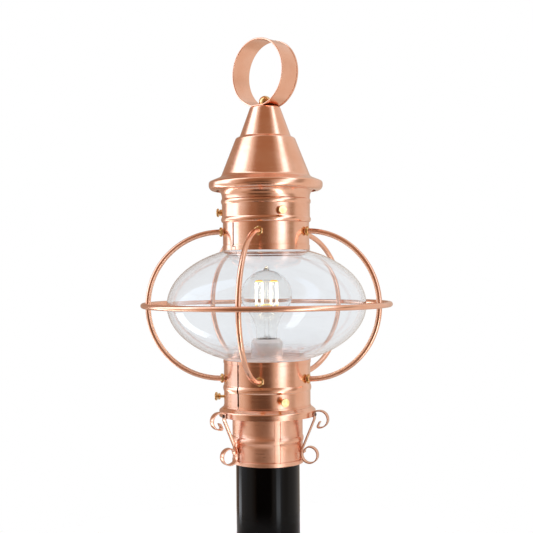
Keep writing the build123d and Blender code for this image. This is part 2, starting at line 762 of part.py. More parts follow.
# Finial ring: a hemmed strap bent round, held down through its lowest point
finial_r = FINIAL_DIAMETER / 2
finial_in = finial_r - FINIAL_HEM_PROUD - FINIAL_SHEET
finial_z = roof_top + SNUG + finial_r
finial_plane = facing_plane(FINIAL_ANGLE, 0, finial_z)
with BuildPart() as finial_ring:
    with BuildSketch(finial_plane):
        Circle(finial_r - FINIAL_HEM_PROUD)
        Circle(finial_in, mode=Mode.SUBTRACT)
    extrude(amount=FINIAL_WIDTH / 2, both=True)
    for side in (1, -1):
        with BuildSketch(finial_plane.offset(side * FINIAL_WIDTH / 2)):
            Circle(finial_r)
            Circle(finial_in, mode=Mode.SUBTRACT)
        extrude(amount=-side * FINIAL_HEM)
    with BuildSketch(Plane.XY.offset(roof_top)):
        Circle(STUD_DIAMETER / 2 + SNUG)
    extrude(amount=finial_r, mode=Mode.SUBTRACT)
save(finial_ring.part, "finial_ring")

# Finial stud through the roof's top, a nut below it and a ball nut inside the ring
ball_r = BALL_DIAMETER / 2
ball_base = finial_z - flat_depth(finial_in, BALL_FLAT / 2) + SNUG
ball_z = ball_base + flat_depth(ball_r, BALL_FLAT / 2)
stud_low = roof_top - SHEET - STUD_DROP
stud_top = ball_base + STUD_GRIP
with BuildPart() as finial_stud:
    with BuildSketch(Plane.XY.offset(stud_low)):
        Circle(STUD_DIAMETER / 2)
    extrude(amount=stud_top - stud_low)
save(finial_stud.part, "finial_stud")

with BuildPart() as ball_nut:
    with BuildSketch(Plane.XZ):
        with BuildLine():
            ball = ThreePointArc((BALL_FLAT / 2, ball_base), (ball_r, ball_z), (0, ball_z + ball_r))
            Polyline(ball @ 1, (0, ball_base), ball @ 0)
        make_face()
    revolve(axis=Axis.Z)
    with BuildSketch(Plane.XY.offset(ball_base)):
        Circle(STUD_DIAMETER / 2 + SNUG)
    extrude(amount=STUD_GRIP + SNUG, mode=Mode.SUBTRACT)
save(ball_nut.part, "ball_nut")

with BuildPart() as finial_nut:
    with BuildSketch(Plane.XY.offset(roof_top - SHEET - SNUG)):
        RegularPolygon(STUD_NUT_FLATS / 2, 6, major_radius=False)
        Circle(STUD_DIAMETER / 2 + SNUG, mode=Mode.SUBTRACT)
    extrude(amount=-STUD_NUT_THICKNESS)
save(finial_nut.part, "finial_nut")

# Socket plate on the gallery ring, with vents round the nipple
nipple_r = NIPPLE_DIAMETER / 2
with BuildPart() as socket_plate:
    with BuildSketch(Plane.XY.offset(gallery_top)):
        Circle(spigot_r)
        Circle(nipple_r + SNUG, mode=Mode.SUBTRACT)
        with PolarLocations(PLATE_VENT_PITCH / 2, PLATE_VENT_COUNT):
            Circle(PLATE_VENT / 2, mode=Mode.SUBTRACT)
    extrude(amount=PLATE_THICKNESS)
save(socket_plate.part, "socket_plate")

# Threaded nipple with a lock nut on each side of the plate
nipple_low = gallery_top - NIPPLE_TAIL
nipple_high = socket_z + NIPPLE_REACH
with BuildPart() as socket_nipple:
    with BuildSketch(Plane.XY.offset(nipple_low)):
        Circle(nipple_r)
        Circle(NIPPLE_BORE / 2, mode=Mode.SUBTRACT)
    extrude(amount=nipple_high - nipple_low)
save(socket_nipple.part, "socket_nipple")

with BuildPart() as nipple_nuts:
    for base in (gallery_top - NIPPLE_NUT_THICKNESS, plate_top):
        with BuildSketch(Plane.XY.offset(base)):
            RegularPolygon(NIPPLE_NUT_FLATS / 2, 6, major_radius=False)
            Circle(nipple_r + SNUG, mode=Mode.SUBTRACT)
        extrude(amount=NIPPLE_NUT_THICKNESS)
save(nipple_nuts.part, "nipple_nuts")

# Porcelain lamp holder: a stepped body bored for the screw shell
cap_r = CAP_DIAMETER / 2
shell_in = cap_r + RUNNING
shell_out = shell_in + SHELL_SHEET
socket_r = max(SOCKET_DIAMETER / 2, shell_out + SOCKET_SHOULDER_STEP)
socket_top = socket_z + SOCKET_HEIGHT
floor_z = socket_z + SOCKET_FLOOR
with BuildPart() as lamp_socket:
    with BuildSketch(Plane.XZ):
        with BuildLine():
            FilletPolyline(
                (nipple_r + SNUG, socket_z),
                (socket_r, socket_z),
                (socket_r, socket_top - SOCKET_SHOULDER),
                (socket_r - SOCKET_SHOULDER_STEP, socket_top),
                (shell_out + SNUG, socket_top),
                (shell_out + SNUG, floor_z),
                (0, floor_z),
                (0, nipple_high + SNUG),
                (nipple_r + SNUG, nipple_high + SNUG),
                (nipple_r + SNUG, socket_z),
                close=True,
                radius=[EASE, 2 * EASE, 2 * EASE, 2 * EASE, EASE, 0, 0, 0, 0],
            )
        make_face()
    revolve(axis=Axis.Z)
save(lamp_socket.part, "lamp_socket")

with BuildPart() as socket_shell:
    with BuildSketch(Plane.XY.offset(floor_z)):
        Circle(shell_out)
        Circle(shell_in, mode=Mode.SUBTRACT)
    extrude(amount=SOCKET_HEIGHT - SOCKET_FLOOR - SHELL_DROP)
save(socket_shell.part, "socket_shell")

with BuildPart() as socket_contact:
    with BuildSketch(Plane.XY.offset(floor_z)):
        Circle(CONTACT_DIAMETER / 2)
    extrude(amount=CONTACT_THICKNESS)
    fillet(socket_contact.faces().sort_by(Axis.Z)[-1].edges(), EASE)
save(socket_contact.part, "socket_contact")

# Bulb cap: screw shell, black insulator and centre contact
bulb_z = floor_z + CONTACT_THICKNESS + SNUG
cap_low = bulb_z + CAP_TIP + CAP_INSULATOR
cap_top = bulb_z + CAP_HEIGHT
with BuildPart() as bulb_cap:
    with BuildSketch(Plane.XZ):
        with BuildLine():
            FilletPolyline(
                (CAP_INSULATOR_TOP / 2, cap_low),
                (cap_r, cap_low + CAP_LIP),
                (cap_r, cap_top),
                radius=CAP_LIP,
            )
            offset(amount=CAP_SHEET, side=Side.LEFT, kind=Kind.INTERSECTION)
        make_face()
    revolve(axis=Axis.Z)
save(bulb_cap.part, "bulb_cap")

with BuildPart() as bulb_insulator:
    with BuildSketch(Plane.XZ):
        with BuildLine():
            Polyline(
                (0, bulb_z + CAP_TIP),
                (CAP_TIP_DIAMETER / 2, bulb_z + CAP_TIP),
                (CAP_INSULATOR_TOP / 2 - CAP_SHEET, cap_low),
                (CAP_INSULATOR_TOP / 2 - CAP_SHEET, cap_low + 2 * CAP_SHEET),
                (0, cap_low + 2 * CAP_SHEET),
                close=True,
            )
        make_face()
    revolve(axis=Axis.Z)
save(bulb_insulator.part, "bulb_insulator")

with BuildPart() as bulb_tip:
    with BuildSketch(Plane.XY.offset(bulb_z)):
        Circle(CAP_TIP_DIAMETER / 2)
    extrude(amount=CAP_TIP)
    fillet(bulb_tip.faces().sort_by(Axis.Z)[0].edges(), 2 * EASE)
save(bulb_tip.part, "bulb_tip")

# Bulb glass: a sphere, a hollow curve into a straight neck, and the bead where it was sealed
bulb_r = BULB_DIAMETER / 2
bulb_top = bulb_z + BULB_LENGTH
bulb_neck = cap_r - CAP_SHEET - SNUG
neck_drop = bulb_top - bulb_r - cap_top - BULB_NECK
neck_step = bulb_r - bulb_neck
neck_bend = (neck_drop**2 + neck_step**2) / (2 * neck_step) - bulb_r
neck_turn = degrees(asin(neck_drop / (bulb_r + neck_bend)))
with BuildPart() as bulb_glass:
    with BuildSketch(Plane.XZ):
        with BuildLine():
            dome = JernArc((0, bulb_top), (1, 0), bulb_r, -90 - neck_turn)
            neck = JernArc(dome @ 1, dome % 1, neck_bend, neck_turn)
            Line(neck @ 1, (bulb_neck, cap_top - CAP_INSULATOR))
            offset(amount=BULB_WALL, side=Side.RIGHT, kind=Kind.INTERSECTION)
        make_face()
    revolve(axis=Axis.Z)
    with Locations((0, 0, bulb_top + BULB_PIP_RISE - BULB_PIP / 2)):
        Sphere(BULB_PIP / 2)
save(bulb_glass.part, "bulb_glass")

# Glass stem: a flared foot sealed in the neck and a rod up the middle
stem_z = cap_top - CAP_INSULATOR
rod_low = stem_z + STEM_FLARE + STEM_RISE / 2
filament_z = bulb_top - bulb_r - FILAMENT_HEIGHT / 2
rod_top = filament_z + FILAMENT_HEIGHT + STEM_ROD
with BuildPart() as bulb_stem:
    with BuildSketch(Plane.XZ):
        with BuildLine():
            FilletPolyline(
                (bulb_neck - BULB_WALL - SNUG, stem_z),
                (STEM_DIAMETER / 2, stem_z + STEM_FLARE),
                (STEM_DIAMETER / 2, rod_low),
                (STEM_ROD / 2, rod_low + STEM_ROD),
                (STEM_ROD / 2, rod_top),
                radius=[STEM_FLARE / 2, EASE, EASE],
            )
            Polyline(
                (STEM_ROD / 2, rod_top),
                (0, rod_top),
                (0, stem_z),
                (bulb_neck - BULB_WALL - SNUG, stem_z),
            )
        make_face()
    revolve(axis=Axis.Z)
save(bulb_stem.part, "bulb_stem")

# Filament: strands up and down round a circle, joined in turn at the top and the bottom
filament_r = FILAMENT_CIRCLE / 2
strand_pitch = 360.0 / FILAMENT_STRANDS
corners = []
for strand, angle in enumerate(spread(FILAMENT_STRANDS, FRONT + strand_pitch / 2)):
    foot = facing_plane(angle, filament_r, filament_z).origin
    head = facing_plane(angle, filament_r, filament_z + FILAMENT_HEIGHT).origin
    corners += [head, foot] if strand % 2 else [foot, head]
with BuildPart() as bulb_filament:
    with BuildLine() as zigzag:
        Polyline(*corners)
    with BuildSketch(Plane(origin=zigzag.line @ 0, z_dir=zigzag.line % 0)):
        Circle(FILAMENT_DIAMETER / 2)
    sweep(path=zigzag.line, transition=Transition.ROUND)
save(bulb_filament.part, "bulb_filament")

# Support wires: spokes from the rod to the filament's turns, above and below
turn_r = filament_r * cos(radians(strand_pitch / 2)) - FILAMENT_DIAMETER / 2 - SNUG
with BuildPart() as filament_supports:
    for start, height in ((FRONT, filament_z), (FRONT + strand_pitch, filament_z + FILAMENT_HEIGHT)):
        for angle in spread(FILAMENT_STRANDS // 2, start):
            with BuildSketch(facing_plane(angle, turn_r, height)):
                Circle(SUPPORT_DIAMETER / 2)
            extrude(amount=STEM_ROD / 2 + SNUG - turn_r)
save(filament_supports.part, "filament_supports")
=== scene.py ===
"""Dresses the copper onion post lantern: sheet metal, wire cage, globe, bulb and studio.

Sizes are millimetres in the CAD model's own frame: +Z is up, the front is -Y and the origin is the middle
of the post's cut end. Angles are degrees, and plan angles run anticlockwise from +X. Meshes are written in
metres.
"""

from __future__ import annotations

import json
import logging
from abc import ABC, abstractmethod
from dataclasses import dataclass, replace
from enum import Enum
from functools import cache
from math import asin, ceil, cos, degrees, radians, sin, sqrt
from typing import Any, Sequence

import bmesh
import bpy
import numpy as np
from mathutils import Matrix, Vector

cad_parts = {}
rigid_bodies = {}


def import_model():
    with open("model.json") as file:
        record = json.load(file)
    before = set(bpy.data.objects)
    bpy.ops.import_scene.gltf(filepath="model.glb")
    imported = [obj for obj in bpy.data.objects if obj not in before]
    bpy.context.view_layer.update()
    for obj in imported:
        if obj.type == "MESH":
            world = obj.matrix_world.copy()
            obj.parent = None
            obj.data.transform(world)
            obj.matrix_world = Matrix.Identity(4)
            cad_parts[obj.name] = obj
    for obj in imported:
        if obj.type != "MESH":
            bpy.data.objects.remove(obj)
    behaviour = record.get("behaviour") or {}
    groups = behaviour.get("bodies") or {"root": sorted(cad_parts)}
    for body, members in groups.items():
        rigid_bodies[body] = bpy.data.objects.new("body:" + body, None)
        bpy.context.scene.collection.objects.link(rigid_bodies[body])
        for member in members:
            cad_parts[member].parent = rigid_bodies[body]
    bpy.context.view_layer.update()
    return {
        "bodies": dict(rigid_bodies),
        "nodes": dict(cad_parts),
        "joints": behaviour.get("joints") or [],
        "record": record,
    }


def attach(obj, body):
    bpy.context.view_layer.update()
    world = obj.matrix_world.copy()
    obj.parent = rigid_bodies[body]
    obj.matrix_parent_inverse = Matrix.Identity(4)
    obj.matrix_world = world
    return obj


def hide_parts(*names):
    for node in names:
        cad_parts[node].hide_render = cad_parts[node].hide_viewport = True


LOG = logging.getLogger("post_lantern")
Array = np.ndarray
Mesh = tuple[Array, list[Array]]
Frame = dict[str, Any]
Triple = tuple[float, float, float]
Tree = bpy.types.NodeTree
Node = bpy.types.Node

MM = 0.001

# Stations of a full turn, of the shortest arc, of a bead and of a strip's corner
AROUND = 168
ARC_LEAST = 3
BEAD_STATIONS = 15
CORNER_STATIONS = 4

# Steps in degrees along arcs, round small turned pieces and round coarse ones
ARC_STEP = 7.5
SMALL_STEP = 5.0
COARSE_STEP = 7.5

# Steps in millimetres along a straight run, and from its ends to the stations that keep it flat
RUN_STEP = 7.0
SUPPORT = 0.35
SHORT_RUN = 3.0 * SUPPORT

# Digits that an angle keeps, metres within which points are welded, and the turn of a sharp edge
ANGLE_DIGITS = 6
WELD = 1.0e-7
SHARP = radians(38.0)

# Most values of a noise lie between these two
NOISE_LOW = 0.3
NOISE_HIGH = 0.7

# Headings in the plane of (r, z)
UPWARD = 90.0
DOWNWARD = -90.0

HEX_SIDES = 6
AXIS_UP: Triple = (0.0, 0.0, 1.0)
UP = np.array(AXIS_UP)


class Body(Enum):
    """The bodies that pieces ride on."""

    BASE = "base"
    CAGE = "cage"
    ROOF = "roof"
    BULB = "bulb"


class Slot(Enum):
    """The record's material slots."""

    COPPER = "copper"
    BRASS = "brass"
    STEEL = "zinc_steel"
    PAINT = "black_paint"
    PORCELAIN = "porcelain"
    GLOBE = "globe_glass"
    BULB = "bulb_glass"
    INSULATOR = "cap_insulator"
    FILAMENT = "filament"


@dataclass(frozen=True)
class Datum:
    """Radii, heights and places that several sub-assemblies share."""

    front: float = -90.0
    sheet: float = 1.0
    snug: float = 0.05
    fitter_r: float = 42.1
    fitter_z: float = 120.0
    post_top: float = 186.4
    flange_r: float = 57.8
    rim_low: float = 176.4
    rim_high: float = 183.4
    ledge_z: float = 187.6
    collar_r: float = 51.8
    spigot_r: float = 47.2
    lower_screw_z: float = 197.8
    lower_top: float = 243.7
    equator_z: float = 308.8
    upper_low: float = 373.9
    shoulder_z: float = 407.2
    upper_screw_z: float = 419.8
    skirt_r: float = 52.8
    roof_top: float = 545.8
    hem_height: float = 5.0
    hem_proud: float = 0.55
    crevice: float = 0.45
    crevice_width: float = 1.0
    crevice_flank: float = 1.0 / 6.0
    bead_height: float = 8.0
    bead_proud: float = 1.1
    wire_start: float = -99.0
    wire_swings: tuple[float, ...] = (-5.5, 5.0, 3.5, 6.0, -1.5)
    screw_count: int = 3
    screw_start: float = -71.0

    @property
    def wires(self) -> list[tuple[float, float]]:
        """Plan angle of each wire's holes, and how far the wire swings about them."""
        return list(zip(spread(len(self.wire_swings), self.wire_start), self.wire_swings))


DATUM = Datum()

# Radii of the four corners that hem_edge gives
HEM_BENDS = (0.1, 0.0, 0.0, 0.1)


def unit(vectors: Array) -> Array:
    """Vectors scaled to length one along their last axis."""
    return vectors / np.linalg.norm(vectors, axis=-1, keepdims=True)


def ray(angle: float) -> Array:
    """Unit vector that points outward at a plan angle."""
    return np.array((cos(radians(angle)), sin(radians(angle)), 0.0))


def spread(count: int, start: float) -> list[float]:
    """Plan angles of equally spaced pieces."""
    return [start + k * 360.0 / count for k in range(count)]


def turn_of(width: float, radius: float) -> float:
    """Plan angle that a width takes up on a wall of that radius."""
    return degrees(width / radius)


def ease(values: Array, low: float, high: float) -> Array:
    """Smooth step from 0 at low to 1 at high: t * t * (3 - 2 t)."""
    t = np.clip((np.asarray(values, float) - low) / (high - low), 0.0, 1.0)
    return t * t * (3.0 - 2.0 * t)


def plateau(values: Array, low: float, high: float, soft: float) -> Array:
    """1 inside a range and 0 outside it, eased over a soft width just inside each end."""
    return ease(values, low, low + soft) * (1.0 - ease(values, high - soft, high))


def swell(offset: Array, half: float, rise: float) -> Array:
    """Height of a bead over its wall: a circular segment about offset 0, and 0 beyond its half height.

    The segment's circle has the radius R = (half^2 + rise^2) / (2 rise), and its height at an offset x is
    sqrt(R^2 - x^2) - R + rise.

    Args:
        offset: Distances from the bead's middle.
        half: Half of the bead's height.
        rise: How far its middle stands proud.
    Returns:
        The heights over the wall.
    """
    ball = (half**2 + rise**2) / (2.0 * rise)
    reach = np.minimum(np.abs(offset), half)
    return np.sqrt(ball**2 - reach**2) - ball + rise


def run(start: Array, end: Array) -> Array:
    """Stations inside a straight run, with one close to each end that keeps the run flat.

    Args:
        start: First point, already in the path.
        end: Last point, already in the path.
    Returns:
        The points between them, none for a short run.
    """
    length = float(np.linalg.norm(end - start))
    if length < SHORT_RUN:
        return np.empty((0, start.size))
    places = np.linspace(SUPPORT, length - SUPPORT, ceil(length / RUN_STEP) + 1)
    return start + (end - start) * (places / length)[:, None]


def chain(stretches: Sequence[Array]) -> Array:
    """Joins stretches of a path with straight runs.

    Args:
        stretches: Stations of each stretch, in order.
    Returns:
        The stations of the whole path.
    """
    joined = [stretches[0]]
    for stretch in stretches[1:]:
        joined += [run(joined[-1][-1], stretch[0]), stretch]
    return np.vstack(joined)


def bend(points: Sequence[Sequence[float]], radii: Sequence[float]) -> Array:
    """Rounds the inner corners of a polyline with tangent arcs.

    A corner of inner angle 2 h is cut back by radius / tan(h) on both sides. The arc between the cuts turns
    by w = 180 degrees - 2 h and blends its end rays u and v as (sin((1 - t) w) u + sin(t w) v) / sin(w).

    Args:
        points: The polyline's points.
        radii: One radius for each inner corner, 0 for a plain corner.
    Returns:
        The stations of the rounded path.
    """
    places = np.asarray(points, float)
    stretches = [places[:1]]
    for before, corner, after, radius in zip(places[:-2], places[1:-1], places[2:], radii):
        if radius == 0.0:
            stretches.append(corner[None])
            continue
        back = unit(before - corner)
        ahead = unit(after - corner)
        half = 0.5 * np.arccos(np.clip(back @ ahead, -1.0, 1.0))
        centre = corner + unit(back + ahead) * radius / np.sin(half)
        u = corner + back * radius / np.tan(half) - centre
        v = corner + ahead * radius / np.tan(half) - centre
        turn_angle = np.pi - 2.0 * half
        t = np.linspace(0.0, 1.0, max(ARC_LEAST, ceil(degrees(turn_angle) / ARC_STEP) + 1))[:, None]
        blend = np.sin((1.0 - t) * turn_angle) * u + np.sin(t * turn_angle) * v
        stretches.append(centre + blend / np.sin(turn_angle))
    stretches.append(places[-1:])
    return chain(stretches)


def arc(start: Array, heading: float, radius: float, turn: float) -> tuple[Array, float]:
    """Circular arc that leaves a point in a heading.

    The centre lies one radius to the left of the heading, or to the right for a negative turn.

    Args:
        start: First point.
        heading: Direction of travel.
        radius: Radius of the arc.
        turn: Angle swept, anticlockwise.
    Returns:
        The arc's stations and its last heading.
    """
    first = heading - np.sign(turn) * 90.0
    centre = start - radius * ray(first)[:2]
    swept = np.radians(first + np.linspace(0.0, turn, ceil(abs(turn) / ARC_STEP) + 1))
    return centre + radius * np.column_stack((np.cos(swept), np.sin(swept))), heading + turn


def follow(start: Array, heading: float, bends: Sequence[tuple[float, float]]) -> tuple[Array, float]:
    """Arcs that follow on from each other.

    Args:
        start: First point.
        heading: Direction of travel there.
        bends: Radius and turn of each arc.
    Returns:
        The arcs' stations and the last heading.
    """
    path = np.array((start,))
    for radius, turn in bends:
        stretch, heading = arc(path[-1], heading, radius, turn)
        path = np.vstack((path, stretch[1:]))
    return path, heading


def hermite(start: Array, leave: Array, end: Array, arrive: Array, stations: int) -> Array:
    """Cubic curve between two points.

    With u from 0 to 1 it is (2 u^3 - 3 u^2 + 1) start + (u^3 - 2 u^2 + u) leave + (3 u^2 - 2 u^3) end +
    (u^3 - u^2) arrive.

    Args:
        start: First point.
        leave: Pull along which the curve leaves it.
        end: Last point.
        arrive: Pull along which the curve arrives there.
        stations: How many points the curve has.
    Returns:
        The curve's stations.
    """
    u = np.linspace(0.0, 1.0, stations)[:, None]
    ends = (2 * u**3 - 3 * u**2 + 1) * start + (3 * u**2 - 2 * u**3) * end
    return ends + (u**3 - 2 * u**2 + u) * leave + (u**3 - u**2) * arrive


def lens(radius: float, height: float, half: float, rise: float) -> Array:
    """Bead on a wall of that radius, about that height, read upward as (r, z)."""
    z = np.linspace(-half, half, BEAD_STATIONS)
    return np.column_stack((radius + swell(z, half, rise), height + z))


def hem_edge(below: float, above: float, top: float) -> list[tuple[float, float]]:
    """Path of (r, z) upward across a hem's free edge, between whose fold and the wall lies a crevice.

    Args:
        below: Radius under the edge.
        above: Radius over it.
        top: Height at which the crevice ends.
    Returns:
        The path's four corners.
    """
    deep = min(below, above) - DATUM.crevice
    low = top - DATUM.crevice_width
    flank = DATUM.crevice_width * DATUM.crevice_flank
    return [(below, low), (deep, low + flank), (deep, top - flank), (above, top)]


def offset_path(path: Array, distance: float) -> Array:
    """Moves a path sideways along its own normals, to the left for a positive distance."""
    along = unit(np.gradient(path, axis=0))
    return path + distance * np.column_stack((-along[:, 1], along[:, 0]))


def circle(radius: float, sides: int) -> Array:
    """Closed round section."""
    swept = np.linspace(0.0, 2.0 * np.pi, sides, endpoint=False)
    return radius * np.column_stack((np.cos(swept), np.sin(swept)))


def rounded_box(width: float, height: float, radius: float) -> Array:
    """Closed section of a strip: a box whose corners are quarter circles.

    Args:
        width: Size along the section's first coordinate.
        height: Size along its second.
        radius: Radius of the corners.
    Returns:
        The section's points, anticlockwise.
    """
    quarter = np.radians(np.linspace(0.0, 90.0, CORNER_STATIONS))
    corners = []
    for number, (right, up) in enumerate(((1, 1), (-1, 1), (-1, -1), (1, -1))):
        swept = quarter + number * np.pi / 2.0
        centre = np.array((right * (width / 2.0 - radius), up * (height / 2.0 - radius)))
        corners.append(centre + radius * np.column_stack((np.cos(swept), np.sin(swept))))
    return np.vstack(corners)


def around(*edges: float, step: float = 360.0 / AROUND, fine: float = 0.0) -> Array:
    """Plan angles of a full turn that also hold the given edges.

    Args:
        edges: Angles that need a station of their own.
        step: Even spacing of the rest.
        fine: Spacing between the lowest and the highest edge, 0 for none.
    Returns:
        Sorted angles of one turn, starting at the lowest edge or at 0.
    """
    origin = min(edges, default=0.0)
    even = origin + np.arange(0.0, 360.0, step)
    extra = np.arange(origin, max(edges), fine) if fine and edges else np.empty(0)
    return np.unique(np.round(np.concatenate((even, np.array(edges, float), extra)), ANGLE_DIGITS))


def spun(radius: Array, height: Array, angles: Array) -> Array:
    """Grid of (r cos a, r sin a, z), whose radii and heights have one column or one for each angle."""
    swept = np.radians(angles)
    return np.stack(np.broadcast_arrays(radius * np.cos(swept), radius * np.sin(swept), height), axis=-1)


def turned(path: Array, angles: Array) -> Array:
    """Grid of a path of (r, z) carried round the Z axis."""
    return spun(path[:, :1], path[:, 1:], angles)


def outward(points: Array, angle: float, height: float) -> Array:
    """Lays a piece made round the Z axis along a radius: its z points outward and its y up."""
    side = ray(angle + 90.0)
    return points[..., :1] * side + (points[..., 1:2] + height) * UP + points[..., 2:] * ray(angle)


def carried(path: Array, section: Array, across: Array) -> Array:
    """Grid of a section carried along a path.

    At each station the section's first coordinate runs along across, and its second along the path's
    normal, which is across x travel.

    Args:
        path: Stations, n by 3.
        section: Closed section, m by 2.
        across: One direction, or one for each station.
    Returns:
        Points, n by m by 3.
    """
    along = unit(np.gradient(path, axis=0))
    across = np.broadcast_to(across, path.shape)
    normal = unit(np.cross(across, along))
    first = section[:, 0][None, :, None] * across[:, None, :]
    second = section[:, 1][None, :, None] * normal[:, None, :]
    return path[:, None, :] + first + second


def skin(grid: Array, round_rows: bool = False, caps: bool = False) -> Mesh:
    """Surface over a grid whose columns go all the way round.

    Args:
        grid: Points, rows by columns.
        round_rows: Joins the last row to the first, as on a ring.
        caps: Closes the first and last rows with a face.
    Returns:
        Vertices, and blocks of faces.
    """
    rows, columns = grid.shape[:2]
    number = np.arange(rows * columns).reshape(rows, columns)
    below = number if round_rows else number[:-1]
    above = np.roll(number, -1, axis=0) if round_rows else number[1:]
    cells = np.stack((below, np.roll(below, -1, axis=1), np.roll(above, -1, axis=1), above), axis=-1)
    ends = [np.stack((number[0, ::-1], number[-1]))] if caps else []
    return grid.reshape(-1, 3), [cells.reshape(-1, 4), *ends]


def wall(outer: Array, inner: Array, opened: Array | None = None) -> Mesh:
    """Closes two matching grids, whose columns go all the way round, into one sheet.

    Cells that are opened leave a window through both faces. Wherever a kept cell borders an opened one or
    the grid's end, a quad joins the two faces.

    Args:
        outer: Points of the outer face, rows by columns.
        inner: Points of the inner face, matching the outer one.
        opened: True for each cell that is a window, rows - 1 by columns.
    Returns:
        Vertices, and blocks of faces.
    """
    rows, columns = outer.shape[:2]
    number = np.arange(rows * columns).reshape(rows, columns)
    ahead = np.roll(number, -1, axis=1)
    back = rows * columns
    kept = np.ones((rows - 1, columns), bool) if opened is None else ~opened
    cells = np.stack((number[:-1], ahead[:-1], ahead[1:], number[1:]), axis=-1)[kept]
    padded = np.pad(kept, ((1, 1), (0, 0)))
    level = padded[1:] != padded[:-1]
    upright = kept != np.roll(kept, 1, axis=1)
    level_rims = np.stack((number, ahead, ahead + back, number + back), axis=-1)[level]
    upright_rims = np.stack((number[:-1], number[1:], number[1:] + back, number[:-1] + back), axis=-1)
    faces = np.vstack((cells, cells[:, ::-1] + back, level_rims, upright_rims[upright]))
    return np.vstack((outer.reshape(-1, 3), inner.reshape(-1, 3))), [faces]


def sheet_turned(path: Array, thickness: float, step: float = 360.0 / AROUND) -> Mesh:
    """Spun sheet: a path of (r, z), thickened to its left or right, carried round the Z axis."""
    angles = around(step=step)
    return wall(turned(path, angles), turned(offset_path(path, thickness), angles))


def solid_turned(path: Array, step: float = 360.0 / AROUND) -> Mesh:
    """Turned solid: a path of (r, z) from the Z axis back to it, carried round it."""
    return skin(turned(path, around(step=step)))


def group(parts: Sequence[Mesh]) -> Mesh:
    """Puts separate closed meshes into one.

    Args:
        parts: The meshes.
    Returns:
        Vertices, and blocks of faces.
    """
    shifts = np.cumsum([0] + [len(points) for points, _ in parts])
    faces = [block + shift for shift, (_, blocks) in zip(shifts, parts) for block in blocks]
    return np.vstack([points for points, _ in parts]), faces


def build_object(name: str, mesh_data: Mesh) -> bpy.types.Object:
    """Makes a mesh object in metres with closed poles, outward faces and smooth shading.

    Args:
        name: The object's name.
        mesh_data: Vertices in millimetres, and blocks of faces.
    Returns:
        The object, at the origin.
    """
    vertices, blocks = mesh_data
    faces = [face for block in blocks for face in block.tolist()]
    mesh = bpy.data.meshes.new(name)
    mesh.from_pydata((vertices * MM).tolist(), [], faces)
    work = bmesh.new()
    work.from_mesh(mesh)
    bmesh.ops.remove_doubles(work, verts=work.verts, dist=WELD)
    bmesh.ops.recalc_face_normals(work, faces=work.faces)
    work.to_mesh(mesh)
    work.free()
    mesh.shade_smooth()
    mesh.set_sharp_from_angle(angle=SHARP)
    piece = bpy.data.objects.new(name, mesh)
    bpy.context.scene.collection.objects.link(piece)
    return piece


def linear(colour: str) -> tuple[float, float, float, float]:
    """Linear colour of an sRGB hex value such as #C08060, by the two-part curve of the sRGB standard.

    Args:
        colour: The hex value.
    Returns:
        Red, green, blue and an alpha of 1.
    """
    channels = np.array([int(colour[k : k + 2], 16) for k in (1, 3, 5)]) / 255.0
    low = channels / 12.92
    high = ((channels + 0.055) / 1.055) ** 2.4
    return (*(float(c) for c in np.where(channels <= 0.04045, low, high)), 1.0)


def add_node(tree: Tree, kind: str, inputs: dict[Any, Any], **settings: Any) -> Node:
    """Adds a node with its settings and links.

    Args:
        tree: The tree that takes the node.
        kind: Blender's name of the node's type.
        inputs: For each input's name or number a value, a socket to link, or a node whose first output in
            use is linked.
        settings: Attributes of the node.
    Returns:
        The node.
    """
    node = tree.nodes.new(kind)
    for key, value in settings.items():
        setattr(node, key, value)
    for key, value in inputs.items():
        if isinstance(value, Node):
            value = next(socket for socket in value.outputs if socket.enabled)
        if isinstance(value, bpy.types.NodeSocket):
            tree.links.new(value, node.inputs[key])
        else:
            node.inputs[key].default_value = value
    return node


def grain(tree: Tree, cell: Triple, axis: Triple = AXIS_UP, detail: float = 2.0) -> Node:
    """Noise whose cells have real sizes.

    Args:
        tree: The material's tree.
        cell: Cell size in millimetres, the last one along the axis.
        axis: Direction in the object that the cell's last size follows.
        detail: Octaves of the noise.
    Returns:
        The noise, from 0 to 1.
    """
    place = add_node(tree, "ShaderNodeTexCoord", {})
    tilt = Vector(AXIS_UP).rotation_difference(Vector(axis)).to_euler()
    mapping = add_node(
        tree,
        "ShaderNodeMapping",
        {"Vector": place.outputs["Object"], "Rotation": tilt, "Scale": [size * MM for size in cell]},
        vector_type="TEXTURE",
    )
    return add_node(tree, "ShaderNodeTexNoise", {"Vector": mapping, "Scale": 1.0, "Detail": detail})


@dataclass(frozen=True)
class Finish(ABC):
    """A real material and how its surface was made, with the record's slot that it stands for."""

    title: str
    slot: Slot

    @abstractmethod
    def shade(self, tree: Tree) -> Node:
        """Builds the nodes and returns the shader."""

    def material(self) -> bpy.types.Material:
        """Makes the material.

        Returns:
            The material.
        """
        made = bpy.data.materials.new(self.title)
        made.use_nodes = True
        tree = made.node_tree
        tree.nodes.clear()
        add_node(tree, "ShaderNodeOutputMaterial", {"Surface": self.shade(tree)})
        return made


@cache
def material_of(finish: Finish) -> bpy.types.Material:
    """The finish's material, made once."""
    return finish.material()


